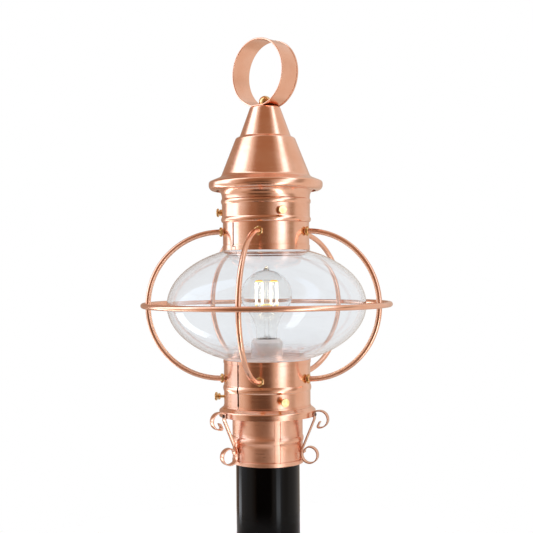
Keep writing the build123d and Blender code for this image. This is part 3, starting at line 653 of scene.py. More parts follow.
@dataclass(frozen=True)
class Surface(Finish):
    """An opaque finish that varies between two tones and two roughnesses, with a fine relief."""

    base: str
    worn: str
    smooth: float
    rough: float
    relief: float

    def surface(self, tree: Tree, tone: Node, sheen: Node, height: Node, others: dict[str, Any]) -> Node:
        """Shader whose colour, roughness and bump each follow a noise.

        The middle of a noise, where most of its values lie, is stretched to the whole range.

        Args:
            tree: The material's tree.
            tone: Noise that mixes the two tones.
            sheen: Noise that the roughness follows.
            height: Noise that lifts the surface by up to the relief.
            others: The shader's other inputs.
        Returns:
            The shader.
        """
        middle = {"From Min": NOISE_LOW, "From Max": NOISE_HIGH}
        share = add_node(tree, "ShaderNodeMapRange", {"Value": tone, **middle})
        colour = add_node(
            tree,
            "ShaderNodeMix",
            {"Factor": share, "A": linear(self.base), "B": linear(self.worn)},
            data_type="RGBA",
        )
        roughness = add_node(
            tree,
            "ShaderNodeMapRange",
            {"Value": sheen, **middle, "To Min": self.smooth, "To Max": self.rough},
        )
        bump = add_node(
            tree, "ShaderNodeBump", {"Height": height, "Strength": 1.0, "Distance": self.relief * MM}
        )
        inputs = {"Base Color": colour, "Roughness": roughness, "Normal": bump, **others}
        return add_node(tree, "ShaderNodeBsdfPrincipled", inputs)


@dataclass(frozen=True)
class BrushedMetal(Surface):
    """Sheet or bar brushed along one direction: soft reflections, faintly streaked along the brushing."""

    title: str = "brushed_copper"
    slot: Slot = Slot.COPPER
    base: str = "#F6C4A8"
    worn: str = "#F0B493"
    smooth: float = 0.16
    rough: float = 0.25
    relief: float = 0.006
    axis: Triple = AXIS_UP
    streak: float = 1.4
    length: float = 45.0
    cloud: float = 26.0
    lacquer: float = 0.0
    lacquer_rough: float = 0.2

    def shade(self, tree: Tree) -> Node:
        """Streaks lie square to the axis, far coarser than the real scratches so that they show.

        Args:
            tree: The material's tree.
        Returns:
            The shader.
        """
        streaks = grain(tree, (self.length, self.length, self.streak), self.axis)
        clouds = grain(tree, (self.cloud, self.cloud, self.cloud), self.axis)
        metal = {"Metallic": 1.0, "Coat Weight": self.lacquer, "Coat Roughness": self.lacquer_rough}
        return self.surface(tree, clouds, streaks, streaks, metal)


# Lacquered copper sheet mirrors the room softly
COPPER = BrushedMetal(lacquer=0.5)

# The fitter's copper is duller, and its brush lines show as hairlines
SATIN = replace(COPPER, title="satin_copper", smooth=0.27, rough=0.44, relief=0.014)

# Drawn copper wire is as warm, without brush lines
DRAWN = replace(COPPER, title="drawn_copper_wire", smooth=0.2, rough=0.26, streak=30.0, relief=0.001)

# Turned brass is yellow and bright, with fine tool marks
BRASS = BrushedMetal(
    title="turned_brass",
    slot=Slot.BRASS,
    base="#F0CF97",
    worn="#DDB06E",
    smooth=0.1,
    rough=0.2,
    streak=0.8,
    cloud=5.0,
    length=12.0,
)

# Zinc-plated steel is an even, dull grey
ZINC = BrushedMetal(
    title="plated_steel", slot=Slot.STEEL, base="#C9CBCD", worn="#B4B7BA", smooth=0.28, rough=0.4, cloud=8.0
)

# The rivets' steel is a dark brownish grey
DARK_STEEL = replace(ZINC, title="dark_brown_steel", base="#80756E", worn="#645B56")


@dataclass(frozen=True)
class GlossPaint(Surface):
    """Baked black enamel: a deep gloss with the faint orange peel of sprayed paint."""

    title: str = "black_enamel"
    slot: Slot = Slot.PAINT
    base: str = "#010101"
    worn: str = "#030303"
    smooth: float = 0.08
    rough: float = 0.12
    relief: float = 0.006
    peel: float = 1.6
    cloud: float = 30.0
    cloud_height: float = 60.0
    gloss: float = 0.17

    def shade(self, tree: Tree) -> Node:
        """Enamel over steel, with orange peel about the size of the real one.

        Args:
            tree: The material's tree.
        Returns:
            The shader.
        """
        peel = grain(tree, (self.peel, self.peel, self.peel))
        clouds = grain(tree, (self.cloud, self.cloud, self.cloud_height))
        return self.surface(tree, clouds, clouds, peel, {"Specular IOR Level": self.gloss})


ENAMEL = GlossPaint()


@dataclass(frozen=True)
class Glaze(Surface):
    """Glazed ceramic: a smooth glassy skin over a body that is slightly uneven in tone."""

    title: str = "glazed_porcelain"
    slot: Slot = Slot.PORCELAIN
    base: str = "#FBFAF7"
    worn: str = "#F1EFEA"
    smooth: float = 0.12
    rough: float = 0.22
    relief: float = 0.02
    patch: float = 7.0

    def shade(self, tree: Tree) -> Node:
        """Tone, gloss and waviness all follow patches of a few millimetres."""
        patches = grain(tree, (self.patch, self.patch, self.patch))
        return self.surface(tree, patches, patches, patches, {})


PORCELAIN = Glaze()

# The cap's pressed black glass has the same skin as a glaze
INSULATOR = Glaze(title="pressed_black_glass", slot=Slot.INSULATOR, base="#0C0C0D", worn="#191919")


@dataclass(frozen=True)
class BlownGlass(Finish):
    """Clear blown glass: a faint tint that gathers at the edges, and slow waves."""

    title: str = "blown_bulb_glass"
    slot: Slot = Slot.BULB
    tint: str = "#FCFCFB"
    ior: float = 1.5
    wave: float = 20.0
    relief: float = 0.02
    thin: float = 0.0

    def body(self, tree: Tree) -> Node:
        """Refracting glass.

        Args:
            tree: The material's tree.
        Returns:
            The glass.
        """
        waves = grain(tree, (self.wave, self.wave, self.wave), detail=0.0)
        bump = add_node(
            tree, "ShaderNodeBump", {"Height": waves, "Strength": 1.0, "Distance": self.relief * MM}
        )
        return add_node(
            tree,
            "ShaderNodeBsdfPrincipled",
            {
                "Base Color": linear(self.tint),
                "Roughness": 0.0,
                "IOR": self.ior,
                "Transmission Weight": 1.0,
                "Normal": bump,
            },
        )

    def shade(self, tree: Tree) -> Node:
        """Shadow and diffuse rays go straight through, and a share of all others where the glass is thin.

        Args:
            tree: The material's tree.
        Returns:
            The shader.
        """
        body = self.body(tree)
        clear = add_node(tree, "ShaderNodeBsdfTransparent", {})
        path = add_node(tree, "ShaderNodeLightPath", {})
        through = add_node(
            tree,
            "ShaderNodeMath",
            {0: path.outputs["Is Shadow Ray"], 1: path.outputs["Is Diffuse Ray"]},
            operation="MAXIMUM",
        )
        straight = add_node(tree, "ShaderNodeMath", {0: through, 1: self.thin}, operation="MAXIMUM")
        return add_node(tree, "ShaderNodeMixShader", {0: straight, 1: body, 2: clear})


BULB_GLASS = BlownGlass()

# The stem's drawn glass is so thin that it hardly bends what is seen through it
STEM_GLASS = replace(BULB_GLASS, title="drawn_stem_glass", thin=0.8)


@dataclass(frozen=True)
class GroundGlass(BlownGlass):
    """Blown glass whose lower neck is ground: cool and clear above, milky as it comes to the collar."""

    title: str = "blown_globe_glass"
    slot: Slot = Slot.GLOBE
    tint: str = "#F4F6F8"
    wave: float = 38.0
    relief: float = 0.03
    # Share that is ground, and how far above the lower collar it starts
    ground: float = 0.4
    ground_rise: float = 12.0
    ground_fade: float = 9.0
    milk: str = "#FFFFFF"

    def body(self, tree: Tree) -> Node:
        """Glass that is milky by a share which grows from 0 downward over the fade.

        Args:
            tree: The material's tree.
        Returns:
            The glass.
        """
        place = add_node(tree, "ShaderNodeTexCoord", {})
        parts = add_node(tree, "ShaderNodeSeparateXYZ", {0: place.outputs["Object"]})
        top = DATUM.lower_top + self.ground_rise
        neck = add_node(
            tree,
            "ShaderNodeMapRange",
            {
                "Value": parts.outputs["Z"],
                "From Min": top * MM,
                "From Max": (top - self.ground_fade) * MM,
                "To Max": self.ground,
            },
        )
        milky = add_node(tree, "ShaderNodeBsdfDiffuse", {"Color": linear(self.milk)})
        return add_node(tree, "ShaderNodeMixShader", {0: neck, 1: super().body(tree), 2: milky})


GLOBE_GLASS = GroundGlass()


@dataclass(frozen=True, kw_only=True)
class GlowingWire(Finish):
    """Coiled tungsten at working heat: white along each strand, yellow at the cooler turns at its ends."""

    title: str = "lit_tungsten"
    slot: Slot = Slot.FILAMENT
    middle: float
    half: float
    turn: float = 3.5
    metal: str = "#5A5048"
    rough: float = 0.4
    hot: str = "#FFF3D6"
    cool: str = "#FFC233"
    hot_strength: float = 6.0
    cool_strength: float = 1.15

    def shade(self, tree: Tree) -> Node:
        """Heat falls from 1 to 0 over the last few millimetres before the turns.

        Args:
            tree: The material's tree.
        Returns:
            The shader.
        """
        place = add_node(tree, "ShaderNodeTexCoord", {})
        parts = add_node(tree, "ShaderNodeSeparateXYZ", {0: place.outputs["Object"]})
        height = {0: parts.outputs["Z"], 1: self.middle * MM}
        aside = add_node(tree, "ShaderNodeMath", height, operation="SUBTRACT")
        away = add_node(tree, "ShaderNodeMath", {0: aside}, operation="ABSOLUTE")
        ends = {"Value": away, "From Min": self.half * MM, "From Max": (self.half - self.turn) * MM}
        heat = add_node(tree, "ShaderNodeMapRange", ends)
        glow = {"To Min": self.cool_strength, "To Max": self.hot_strength}
        strength = add_node(tree, "ShaderNodeMapRange", {**ends, **glow})
        colour = add_node(
            tree,
            "ShaderNodeMix",
            {"Factor": heat, "A": linear(self.cool), "B": linear(self.hot)},
            data_type="RGBA",
        )
        return add_node(
            tree,
            "ShaderNodeBsdfPrincipled",
            {
                "Base Color": linear(self.metal),
                "Metallic": 1.0,
                "Roughness": self.rough,
                "Emission Color": colour,
                "Emission Strength": strength,
            },
        )


def fit(name: str, mesh_data: Mesh, finish: Finish, body: str, *nodes: str) -> None:
    """Builds a piece, dresses it and hangs it on its body in place of its CAD nodes.

    Args:
        name: The piece's name.
        mesh_data: Vertices in millimetres, and blocks of faces.
        finish: The piece's finish.
        body: The body that it rides on.
        nodes: The CAD nodes that it stands for.
    """
    piece = build_object(name, mesh_data)
    piece.data.materials.append(material_of(finish))
    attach(piece, body)
    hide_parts(*nodes)
    LOG.info("%s rides on %s: %d faces", name, body, len(piece.data.polygons))


def dress_nodes(frame: Frame, finish: Finish, *nodes: str) -> None:
    """Gives CAD nodes whose own shape stays a finish.

    Args:
        frame: The loaded frame.
        finish: Their finish.
        nodes: The nodes' names.
    """
    for node in nodes:
        for place in frame["nodes"][node].material_slots:
            place.material = material_of(finish)
        LOG.info("%s keeps its CAD shape", node)


@dataclass
class PostFitter:
    """Black post, fitter skirt, base flange and the scroll straps between them."""

    post_r: float = 38.1
    post_wall: float = 3.2
    bead_z: float = 149.3
    # Rows of the hem, the wall under the bead, the bead and the wall over it
    skirt_rows: tuple[int, ...] = (34, 6, 33, 8)
    seam_angle: float = -75.0
    seam_width: float = 5.4
    seam_proud: float = 0.6
    groove_width: float = 1.9
    groove_depth: float = 0.7
    flange_hole: float = 30.0
    flange_sheet: float = 1.2
    flange_bend: float = 2.2
    ledge_margin: float = 0.8
    strap_angles: tuple[float, ...] = (-150.0, -18.0, 100.0)
    strap_width: float = 8.4
    strap_sheet: float = 1.4
    strap_edge: float = 0.35
    strap_foot: float = 6.0
    strap_bend: float = 6.0
    lower_rise: float = 10.8
    # Radius and turn of each arc of a scroll
    lower_scroll: tuple[tuple[float, float], ...] = ((9.6, 270.0), (6.9, 60.0), (4.8, 45.0))
    upper_scroll: tuple[tuple[float, float], ...] = ((10.0, -193.0), (1.6, -112.0))
    hook: float = 1.6
    tail: float = 5.5
    tip_angle: float = 8.0
    rivet_rise: float = 2.6
    rivet_head: float = 2.3
    rivet_dome: float = 1.7
    rivet_stations: int = 10
    rivet_step: float = 15.0

    @property
    def rivet_z(self) -> float:
        """Height of the rivets."""
        return DATUM.rim_low + self.rivet_rise

    def post(self) -> Mesh:
        """Plain tube with a broken edge at its cut end.

        Returns:
            Vertices, and blocks of faces.
        """
        corners = ((self.post_r - SUPPORT, 0.0), (self.post_r, SUPPORT), (self.post_r, DATUM.post_top))
        edge = bend(corners, (0.0,))
        bore = np.column_stack((np.full(len(edge), self.post_r - self.post_wall), edge[:, 1]))
        return wall(turned(edge, around()), turned(bore, around()))

    def skirt(self) -> Mesh:
        """Sheet whose radius is a function of angle and height.

        The radius is the plain wall, plus the hem below and the bead, plus the lap seam's strip, which
        replaces the bead where it crosses it, less the crevice over the hem and the groove along the
        strip's right edge.

        Returns:
            Vertices, and blocks of faces.
        """
        half = turn_of(self.seam_width / 2.0, DATUM.fitter_r)
        gap = turn_of(self.groove_width, DATUM.fitter_r)
        edge = turn_of(SUPPORT, DATUM.fitter_r)
        left = self.seam_angle - half
        right = self.seam_angle + half
        angles = around(left - 2.0 * edge, right + gap + 2.0 * edge, fine=edge / 2.0)
        foot = DATUM.fitter_z
        hem_top = foot + DATUM.hem_height
        mouth = hem_top + DATUM.crevice_width
        half_bead = DATUM.bead_height / 2.0
        stops = (foot, mouth, self.bead_z - half_bead, self.bead_z + half_bead, DATUM.post_top)
        stretches = [np.linspace(*ends) for ends in zip(stops, stops[1:], self.skirt_rows)]
        heights = np.unique(np.concatenate(stretches))[:, None]
        above_hem = ease(heights, hem_top - SUPPORT, hem_top + SUPPORT)
        hem = DATUM.hem_proud * (ease(heights, foot, foot + SUPPORT) - above_hem)
        crevice = DATUM.crevice * plateau(heights, hem_top, mouth, SUPPORT)
        bead = swell(heights - self.bead_z, half_bead, DATUM.bead_proud)
        strip = plateau(angles, left - edge, right + edge, edge)
        groove = plateau(angles, right, right + gap, edge)
        seam = self.seam_proud * strip - self.groove_depth * groove
        radius = DATUM.fitter_r + hem - crevice + bead * (1.0 - strip) + above_hem * seam
        inner = np.full_like(radius, DATUM.fitter_r - DATUM.sheet)
        return wall(spun(radius, heights, angles), spun(inner, heights, angles))

    def flange(self) -> Mesh:
        """Flat ledge, sloped shoulder and upright rim in one spun sheet.

        Returns:
            Vertices, and blocks of faces.
        """
        path = bend(
            (
                (self.flange_hole, DATUM.ledge_z),
                (DATUM.collar_r + self.ledge_margin, DATUM.ledge_z),
                (DATUM.flange_r, DATUM.rim_high),
                (DATUM.flange_r, DATUM.rim_low),
            ),
            (self.flange_bend, self.flange_bend),
        )
        return sheet_turned(path, -self.flange_sheet)

    def strap(self, angle: float) -> Mesh:
        """Strip in a radial plane: lower scroll, leg, upper scroll and its hooked tip.

        Args:
            angle: Plan angle of the plane.
        Returns:
            Vertices, and blocks of faces.
        """
        foot = DATUM.fitter_r + DATUM.snug + self.strap_sheet / 2.0
        head = DATUM.flange_r + DATUM.snug + self.strap_sheet / 2.0
        low = DATUM.fitter_z + self.lower_rise
        top = self.rivet_z + self.rivet_head + self.strap_sheet
        reach = self.upper_scroll[0][0] / 2.0
        leg = bend(
            (
                (foot, low),
                (foot, low + self.strap_foot),
                (head, DATUM.rim_low - self.rivet_rise),
                (head, top),
                (head + reach, top + reach * np.tan(radians(self.tip_angle))),
            ),
            (self.strap_bend, self.strap_bend, self.hook),
        )
        below, _ = follow(leg[0], DOWNWARD, self.lower_scroll)
        above, heading = follow(leg[-1], self.tip_angle, self.upper_scroll)
        end = above[-1] + self.tail * ray(heading)[:2]
        flat = chain((below[::-1], leg[1:], above[1:], end[None]))
        path = flat[:, :1] * ray(angle) + flat[:, 1:] * UP
        section = rounded_box(self.strap_width, self.strap_sheet, self.strap_edge)
        return skin(carried(path, section, ray(angle + 90.0)), caps=True)

    def rivets(self) -> Mesh:
        """Domed heads on the straps: z = dome * cos(t), r = head * sin(t).

        Returns:
            Vertices, and blocks of faces.
        """
        t = np.radians(np.linspace(0.0, 90.0, self.rivet_stations))
        face = DATUM.flange_r + self.strap_sheet + 2.0 * DATUM.snug
        dome = np.column_stack((self.rivet_head * np.sin(t), face + self.rivet_dome * np.cos(t)))
        back = np.array(((self.rivet_head, face - self.strap_sheet), (0.0, face - self.strap_sheet)))
        head = turned(np.vstack((dome, back)), around(step=self.rivet_step))
        return group([skin(outward(head, angle, self.rivet_z)) for angle in self.strap_angles])

    def build(self, frame: Frame) -> None:
        """Makes the base's outer pieces.

        Args:
            frame: The loaded frame.
        """
        base = Body.BASE.value
        fit("black_post", self.post(), ENAMEL, base, "post")
        fit("fitter_band", self.skirt(), SATIN, base, "fitter_skirt")
        fit("flange_plate", self.flange(), COPPER, base, "base_flange")
        for number, angle in enumerate(self.strap_angles, start=1):
            rolled = replace(COPPER, title=f"rolled_copper_strap_{number}", axis=tuple(ray(angle + 90.0)))
            fit(f"scroll_{number}", self.strap(angle), rolled, base, f"scroll_strap_{number}")
        fit("rivet_heads", self.rivets(), DARK_STEEL, base, "strap_rivets")
        dress_nodes(frame, ZINC, "fitter_sleeve", "post_set_screws")


@dataclass
class LampHolder:
    """Gallery ring and the porcelain lamp holder on its plate."""

    gallery_foot: float = 6.0
    gallery_top: float = 209.8
    gallery_bend: float = 1.6
    socket_r: float = 19.2
    socket_z: float = 214.4
    socket_top: float = 266.7
    shoulder: float = 4.0
    shoulder_step: float = 3.2
    bore_r: float = 14.15
    floor_z: float = 238.4
    edge: float = 0.8

    def gallery(self) -> Mesh:
        """Turned-up ring that the lower collar slides over.

        Returns:
            Vertices, and blocks of faces.
        """
        path = bend(
            (
                (DATUM.spigot_r - self.gallery_foot, DATUM.ledge_z),
                (DATUM.spigot_r, DATUM.ledge_z),
                (DATUM.spigot_r, self.gallery_top),
            ),
            (self.gallery_bend,),
        )
        return sheet_turned(path, DATUM.sheet)

    def socket(self) -> Mesh:
        """Turned porcelain body with a sloped shoulder and a bore for the screw shell.

        Returns:
            Vertices, and blocks of faces.
        """
        path = bend(
            (
                (0.0, self.socket_z),
                (self.socket_r, self.socket_z),
                (self.socket_r, self.socket_top - self.shoulder),
                (self.socket_r - self.shoulder_step, self.socket_top),
                (self.bore_r, self.socket_top),
                (self.bore_r, self.floor_z),
                (0.0, self.floor_z),
            ),
            (self.edge, self.edge, self.edge, self.edge / 2.0, 0.0),
        )
        return solid_turned(path)

    def build(self, frame: Frame) -> None:
        """Makes the lamp holder's pieces.

        Args:
            frame: The loaded frame.
        """
        base = Body.BASE.value
        fit("gallery_band", self.gallery(), COPPER, base, "gallery_ring")
        fit("porcelain_holder", self.socket(), PORCELAIN, base, "lamp_socket")
        dress_nodes(frame, ZINC, "socket_plate", "socket_nipple", "nipple_nuts")
        dress_nodes(frame, BRASS, "socket_shell", "socket_contact")


@dataclass
class Cage:
    """Two collars, five wires with their nuts, the equator ring and the globe."""

    lower_bead_z: float = 210.0
    wire_low: float = 221.7
    wire_high: float = 395.9
    wire_r: float = 3.175
    wire_straight: float = 2.7
    wire_tail: float = 5.4
    wire_sides: int = 24
    bow_stations: int = 97
    ring_seat: float = 0.5
    ring_step: float = 1.5
    nut_flats: float = 9.5
    nut_height: float = 3.8
    nut_chamfer: float = 0.55
    nut_cone: float = 62.0
    nut_rows: int = 5
    upper_hem: float = 7.0
    rim_bend: float = 0.2
    shoulder_bend: float = 0.5
    spigot_lap: float = 5.0
    spigot_top: float = 427.8
    lower_seam: float = -131.0
    upper_seam: float = -138.0
    seam_gap: float = 2.2
    seam_margin: float = 3.75
    # The seam stops short of the shoulder, and its slits pass the collar's ends
    seam_stop: float = 0.7
    seam_past: float = 1.0
    hem_slit: float = 0.8
    notch: float = 2.6
    notch_height: float = 3.0
    jog: float = 4.2
    globe_r: float = 119.4
    globe_half: float = 71.5
    globe_wall: float = 3.0
    globe_step: float = 2.0
    belly_stations: int = 121
    neck_r: float = 49.4
    neck_insert: float = 9.95
    neck_blend: float = 5.0
    neck_pull: float = 8.0
    neck_stations: int = 12
    seat_width: float = 6.0
    seat_sheet: float = 1.6

    @property
    def bow(self) -> float:
        """Radius of the wires' half circle."""
        return (self.wire_high - self.wire_low) / 2.0

    def window(self, path: Array, angles: Array, places: Sequence[tuple[float, ...]]) -> Array:
        """Marks the cells of a wall that lie in any of the given windows.

        Args:
            path: The wall's path of (r, z).
            angles: Its plan angles.
            places: Low and high angle, then low and high height, of each window.
        Returns:
            True for each open cell.
        """
        height = 0.5 * (path[1:, 1] + path[:-1, 1])[:, None]
        turn = (0.5 * (angles + np.roll(angles, -1)))[None, :]
        turn[0, -1] = 0.5 * (angles[-1] + angles[0] + 360.0)
        plain = (0.5 * (path[1:, 0] + path[:-1, 0]) > DATUM.collar_r - DATUM.sheet / 2.0)[:, None]
        opened = np.zeros((len(path) - 1, len(angles)), bool)
        for left, right, low, high in places:
            opened |= plain & (turn > left) & (turn < right) & (height > low) & (height < high)
        return opened

    def seamed(self, path: Array, places: Sequence[tuple[float, ...]]) -> Mesh:
        """Collar of sheet with its seam's windows cut through, its inside plain where the outside has hems.

        Args:
            path: The outside's path of (r, z).
            places: Low and high angle, then low and high height, of each window.
        Returns:
            Vertices, and blocks of faces.
        """
        angles = around(*(edge for left, right, _, _ in places for edge in (left, right)))
        inner_r = np.minimum(path[:, 0], DATUM.collar_r) - DATUM.sheet
        inner_r = np.maximum(inner_r, DATUM.spigot_r + DATUM.snug)
        inner_z = np.minimum(path[:, 1], DATUM.shoulder_z - DATUM.sheet)
        inner = turned(np.column_stack((inner_r, inner_z)), angles)
        return wall(turned(path, angles), inner, self.window(path, angles, places))

    def lower_collar(self) -> Mesh:
        """Hem, bead and hem, with a lap seam that ends in a notch at both hems.

        Returns:
            Vertices, and blocks of faces.
        """
        r = DATUM.collar_r
        hem = r + DATUM.hem_proud
        low = DATUM.ledge_z
        high = DATUM.lower_top
        foot = low + DATUM.hem_height / 2.0
        start = low + self.seam_margin
        end = high - self.seam_margin
        half_bead = DATUM.bead_height / 2.0
        below = bend(
            (
                (hem, low),
                *hem_edge(hem, r, foot),
                (r, start),
                (r, start + self.notch_height),
                (r, self.lower_bead_z - half_bead - SUPPORT),
            ),
            (*HEM_BENDS, 0.0, 0.0),
        )
        above = bend(
            (
                (r, self.lower_bead_z + half_bead + SUPPORT),
                (r, end - self.notch_height),
                *hem_edge(r, hem, high - DATUM.hem_height + DATUM.crevice_width),
                (hem, end),
                (hem, high - SUPPORT),
                (hem - SUPPORT, high),
            ),
            (0.0, *HEM_BENDS, 0.0, self.rim_bend),
        )
        bead = lens(r, self.lower_bead_z, half_bead, DATUM.bead_proud)
        seam = self.lower_seam
        slit, gap, notch = (turn_of(width / 2.0, r) for width in (self.hem_slit, self.seam_gap, self.notch))
        places = (
            (seam - slit, seam + slit, low - self.seam_past, high + self.seam_past),
            (seam - gap, seam + gap, start, end),
            (seam - notch, seam + notch, start, start + self.notch_height),
            (seam - notch, seam + notch, end - self.notch_height, end),
        )
        return self.seamed(chain((below, bead, above)), places)

    def upper_collar(self) -> Mesh:
        """Hem below, a lap seam that jogs at the hem, and a shoulder turned in under the roof.

        Returns:
            Vertices, and blocks of faces.
        """
        r = DATUM.collar_r
        hem = r + DATUM.hem_proud
        low = DATUM.upper_low
        start = low + self.seam_margin
        end = DATUM.shoulder_z - self.seam_stop
        path = bend(
            (
                (hem - SUPPORT, low),
                (hem, low + SUPPORT),
                (hem, start),
                (hem, start + self.hem_slit),
                *hem_edge(hem, r, low + self.upper_hem),
                (r, end),
                (r, DATUM.shoulder_z),
                (DATUM.spigot_r + DATUM.snug, DATUM.shoulder_z),
            ),
            (self.rim_bend, 0.0, 0.0, *HEM_BENDS, 0.0, self.shoulder_bend),
        )
        seam = self.upper_seam
        slit, gap = (turn_of(width / 2.0, r) for width in (self.hem_slit, self.seam_gap))
        aside = seam + turn_of(self.jog, r)
        places = (
            (seam - gap, seam + gap, start, end),
            (seam - gap, aside + slit, start, start + self.hem_slit),
            (aside - slit, aside + slit, low - self.seam_past, start + self.hem_slit),
        )
        return self.seamed(path, places)

    def spigot(self) -> Mesh:
        """Plain band brazed into the upper collar's shoulder, inside the roof's skirt."""
        low = DATUM.shoulder_z - self.spigot_lap
        return sheet_turned(np.array(((DATUM.spigot_r, low), (DATUM.spigot_r, self.spigot_top))), DATUM.sheet)

    def wire(self, angle: float, swing: float) -> Mesh:
        """Round wire along a tail, half a circle and a tail, in one upright plane.

        Args:
            angle: Plan angle of the wire's holes.
            swing: Angle by which the plane is swung about them.
        Returns:
            Vertices, and blocks of faces.
        """
        tail = -DATUM.sheet - self.wire_tail
        t = np.radians(np.linspace(90.0, -90.0, self.bow_stations))
        across = self.wire_straight + self.bow * np.cos(t)
        half = np.column_stack((across, DATUM.equator_z + self.bow * np.sin(t)))
        flat = chain((np.array(((tail, self.wire_high),)), half, np.array(((tail, self.wire_low),))))
        path = DATUM.collar_r * ray(angle) + flat[:, :1] * ray(angle + swing) + flat[:, 1:] * UP
        section = circle(self.wire_r, self.wire_sides)
        return skin(carried(path, section, ray(angle + swing + 90.0)), caps=True)

    def ring(self) -> Mesh:
        """Round bar bent to a full circle outside the wires.

        Returns:
            Vertices, and blocks of faces.
        """
        reach = DATUM.collar_r + self.wire_straight + self.bow
        centre = reach + 2.0 * self.wire_r - self.ring_seat
        section = circle(self.wire_r, self.wire_sides) + np.array((centre, DATUM.equator_z))
        return skin(turned(section, around(step=self.ring_step)).swapaxes(0, 1), round_rows=True)

    def nut(self) -> Array:
        """Hex nut about the Z axis, chamfered where its corners pass a cone on both faces.

        The radius at an angle a is the hexagon's, flats / 2 / cos(a folded to 30 degrees either way), cut to
        the cone's radius near each face.

        Returns:
            Points, rows by columns.
        """
        angles = around(step=SMALL_STEP)
        side = 360.0 / HEX_SIDES
        folded = np.radians((angles + side / 2.0) % side - side / 2.0)
        hexagon = self.nut_flats / 2.0 / np.cos(folded)
        face = np.linspace(0.0, self.nut_height / 4.0, self.nut_rows)
        heights = np.concatenate((face[:1], face, self.nut_height - face[::-1], self.nut_height - face[:1]))
        edge = np.minimum(heights, self.nut_height - heights)[:, None]
        cone = self.nut_flats / 2.0 - self.nut_chamfer + edge * np.tan(radians(self.nut_cone))
        radius = np.minimum(hexagon[None, :], cone)
        radius[[0, -1]] = 0.0
        return spun(radius, heights[:, None], angles)

    def nuts(self, face: float) -> Mesh:
        """The ten nuts, square to their wires.

        Args:
            face: How far their backs stand beyond the wires' holes.
        Returns:
            Vertices, and blocks of faces.
        """
        lifted = self.nut() + face * UP
        return group(
            [
                skin(outward(lifted, angle + swing, height) + DATUM.collar_r * ray(angle))
                for height in (self.wire_low, self.wire_high)
                for angle, swing in DATUM.wires
            ]
        )

    def globe(self) -> Mesh:
        """Blown ellipsoid that blends into a straight neck at each end, with a wall of even thickness.

        The belly is r = globe_r * cos(t), z = equator + globe_half * sin(t), and a cubic curve joins it to
        the neck.

        Returns:
            Vertices, and blocks of faces.
        """
        last = np.arccos(self.neck_r / self.globe_r) - self.neck_blend / self.globe_r
        t = np.linspace(last, -last, self.belly_stations)
        belly = np.column_stack((self.globe_r * np.cos(t), DATUM.equator_z + self.globe_half * np.sin(t)))
        heading = unit(np.array((self.globe_r * np.sin(last), -self.globe_half * np.cos(last))))
        start = np.array((self.neck_r, DATUM.upper_low + self.neck_blend))
        down = np.array((0.0, -1.0))
        pull = self.neck_pull
        mouth = hermite(start, pull * down, belly[0], pull * heading, self.neck_stations)
        upper = np.vstack((((self.neck_r, DATUM.upper_low + self.neck_insert),), mouth[:-1]))
        lower = upper[::-1] * (1.0, -1.0) + (0.0, 2.0 * DATUM.equator_z)
        return sheet_turned(np.vstack((upper, belly, lower)), -self.globe_wall, self.globe_step)

    def seat(self) -> Mesh:
        """Flat ring inside the lower collar that carries the globe's neck.

        Returns:
            Vertices, and blocks of faces.
        """
        top = DATUM.lower_top - self.neck_insert - 2.0 * DATUM.snug
        wall_r = DATUM.collar_r - DATUM.sheet - DATUM.snug
        path = np.array(((wall_r - self.seat_width, top), (wall_r, top)))
        return sheet_turned(path, -self.seat_sheet)

    def build(self, frame: Frame) -> None:
        """Makes the cage's pieces.

        Args:
            frame: The loaded frame.
        """
        cage = Body.CAGE.value
        fit("collar_below", self.lower_collar(), COPPER, cage, "lower_collar")
        fit("collar_above", self.upper_collar(), COPPER, cage, "upper_collar")
        fit("spigot_band", self.spigot(), COPPER, cage, "spigot_ring")
        for number, (angle, swing) in enumerate(DATUM.wires, start=1):
            fit(f"bowed_wire_{number}", self.wire(angle, swing), DRAWN, cage, f"cage_wire_{number}")
        fit("ring_bar", self.ring(), DRAWN, cage, "equator_ring")
        corner = self.nut_flats / sqrt(3.0)
        lift = corner * sin(radians(max(abs(swing) for _, swing in DATUM.wires))) + DATUM.snug
        inside = sqrt((DATUM.collar_r - DATUM.sheet) ** 2 - corner**2) - DATUM.collar_r - self.nut_height
        fit("hex_nuts_outside", self.nuts(lift), BRASS, cage, "wire_nuts_outer")
        fit("hex_nuts_inside", self.nuts(inside - lift), BRASS, cage, "wire_nuts_inner")
        fit("blown_globe", self.globe(), GLOBE_GLASS, cage, "glass_globe")
        fit("seat_ring", self.seat(), COPPER, cage, "globe_seat")
        dress_nodes(frame, BRASS, "lower_screw_bushes")


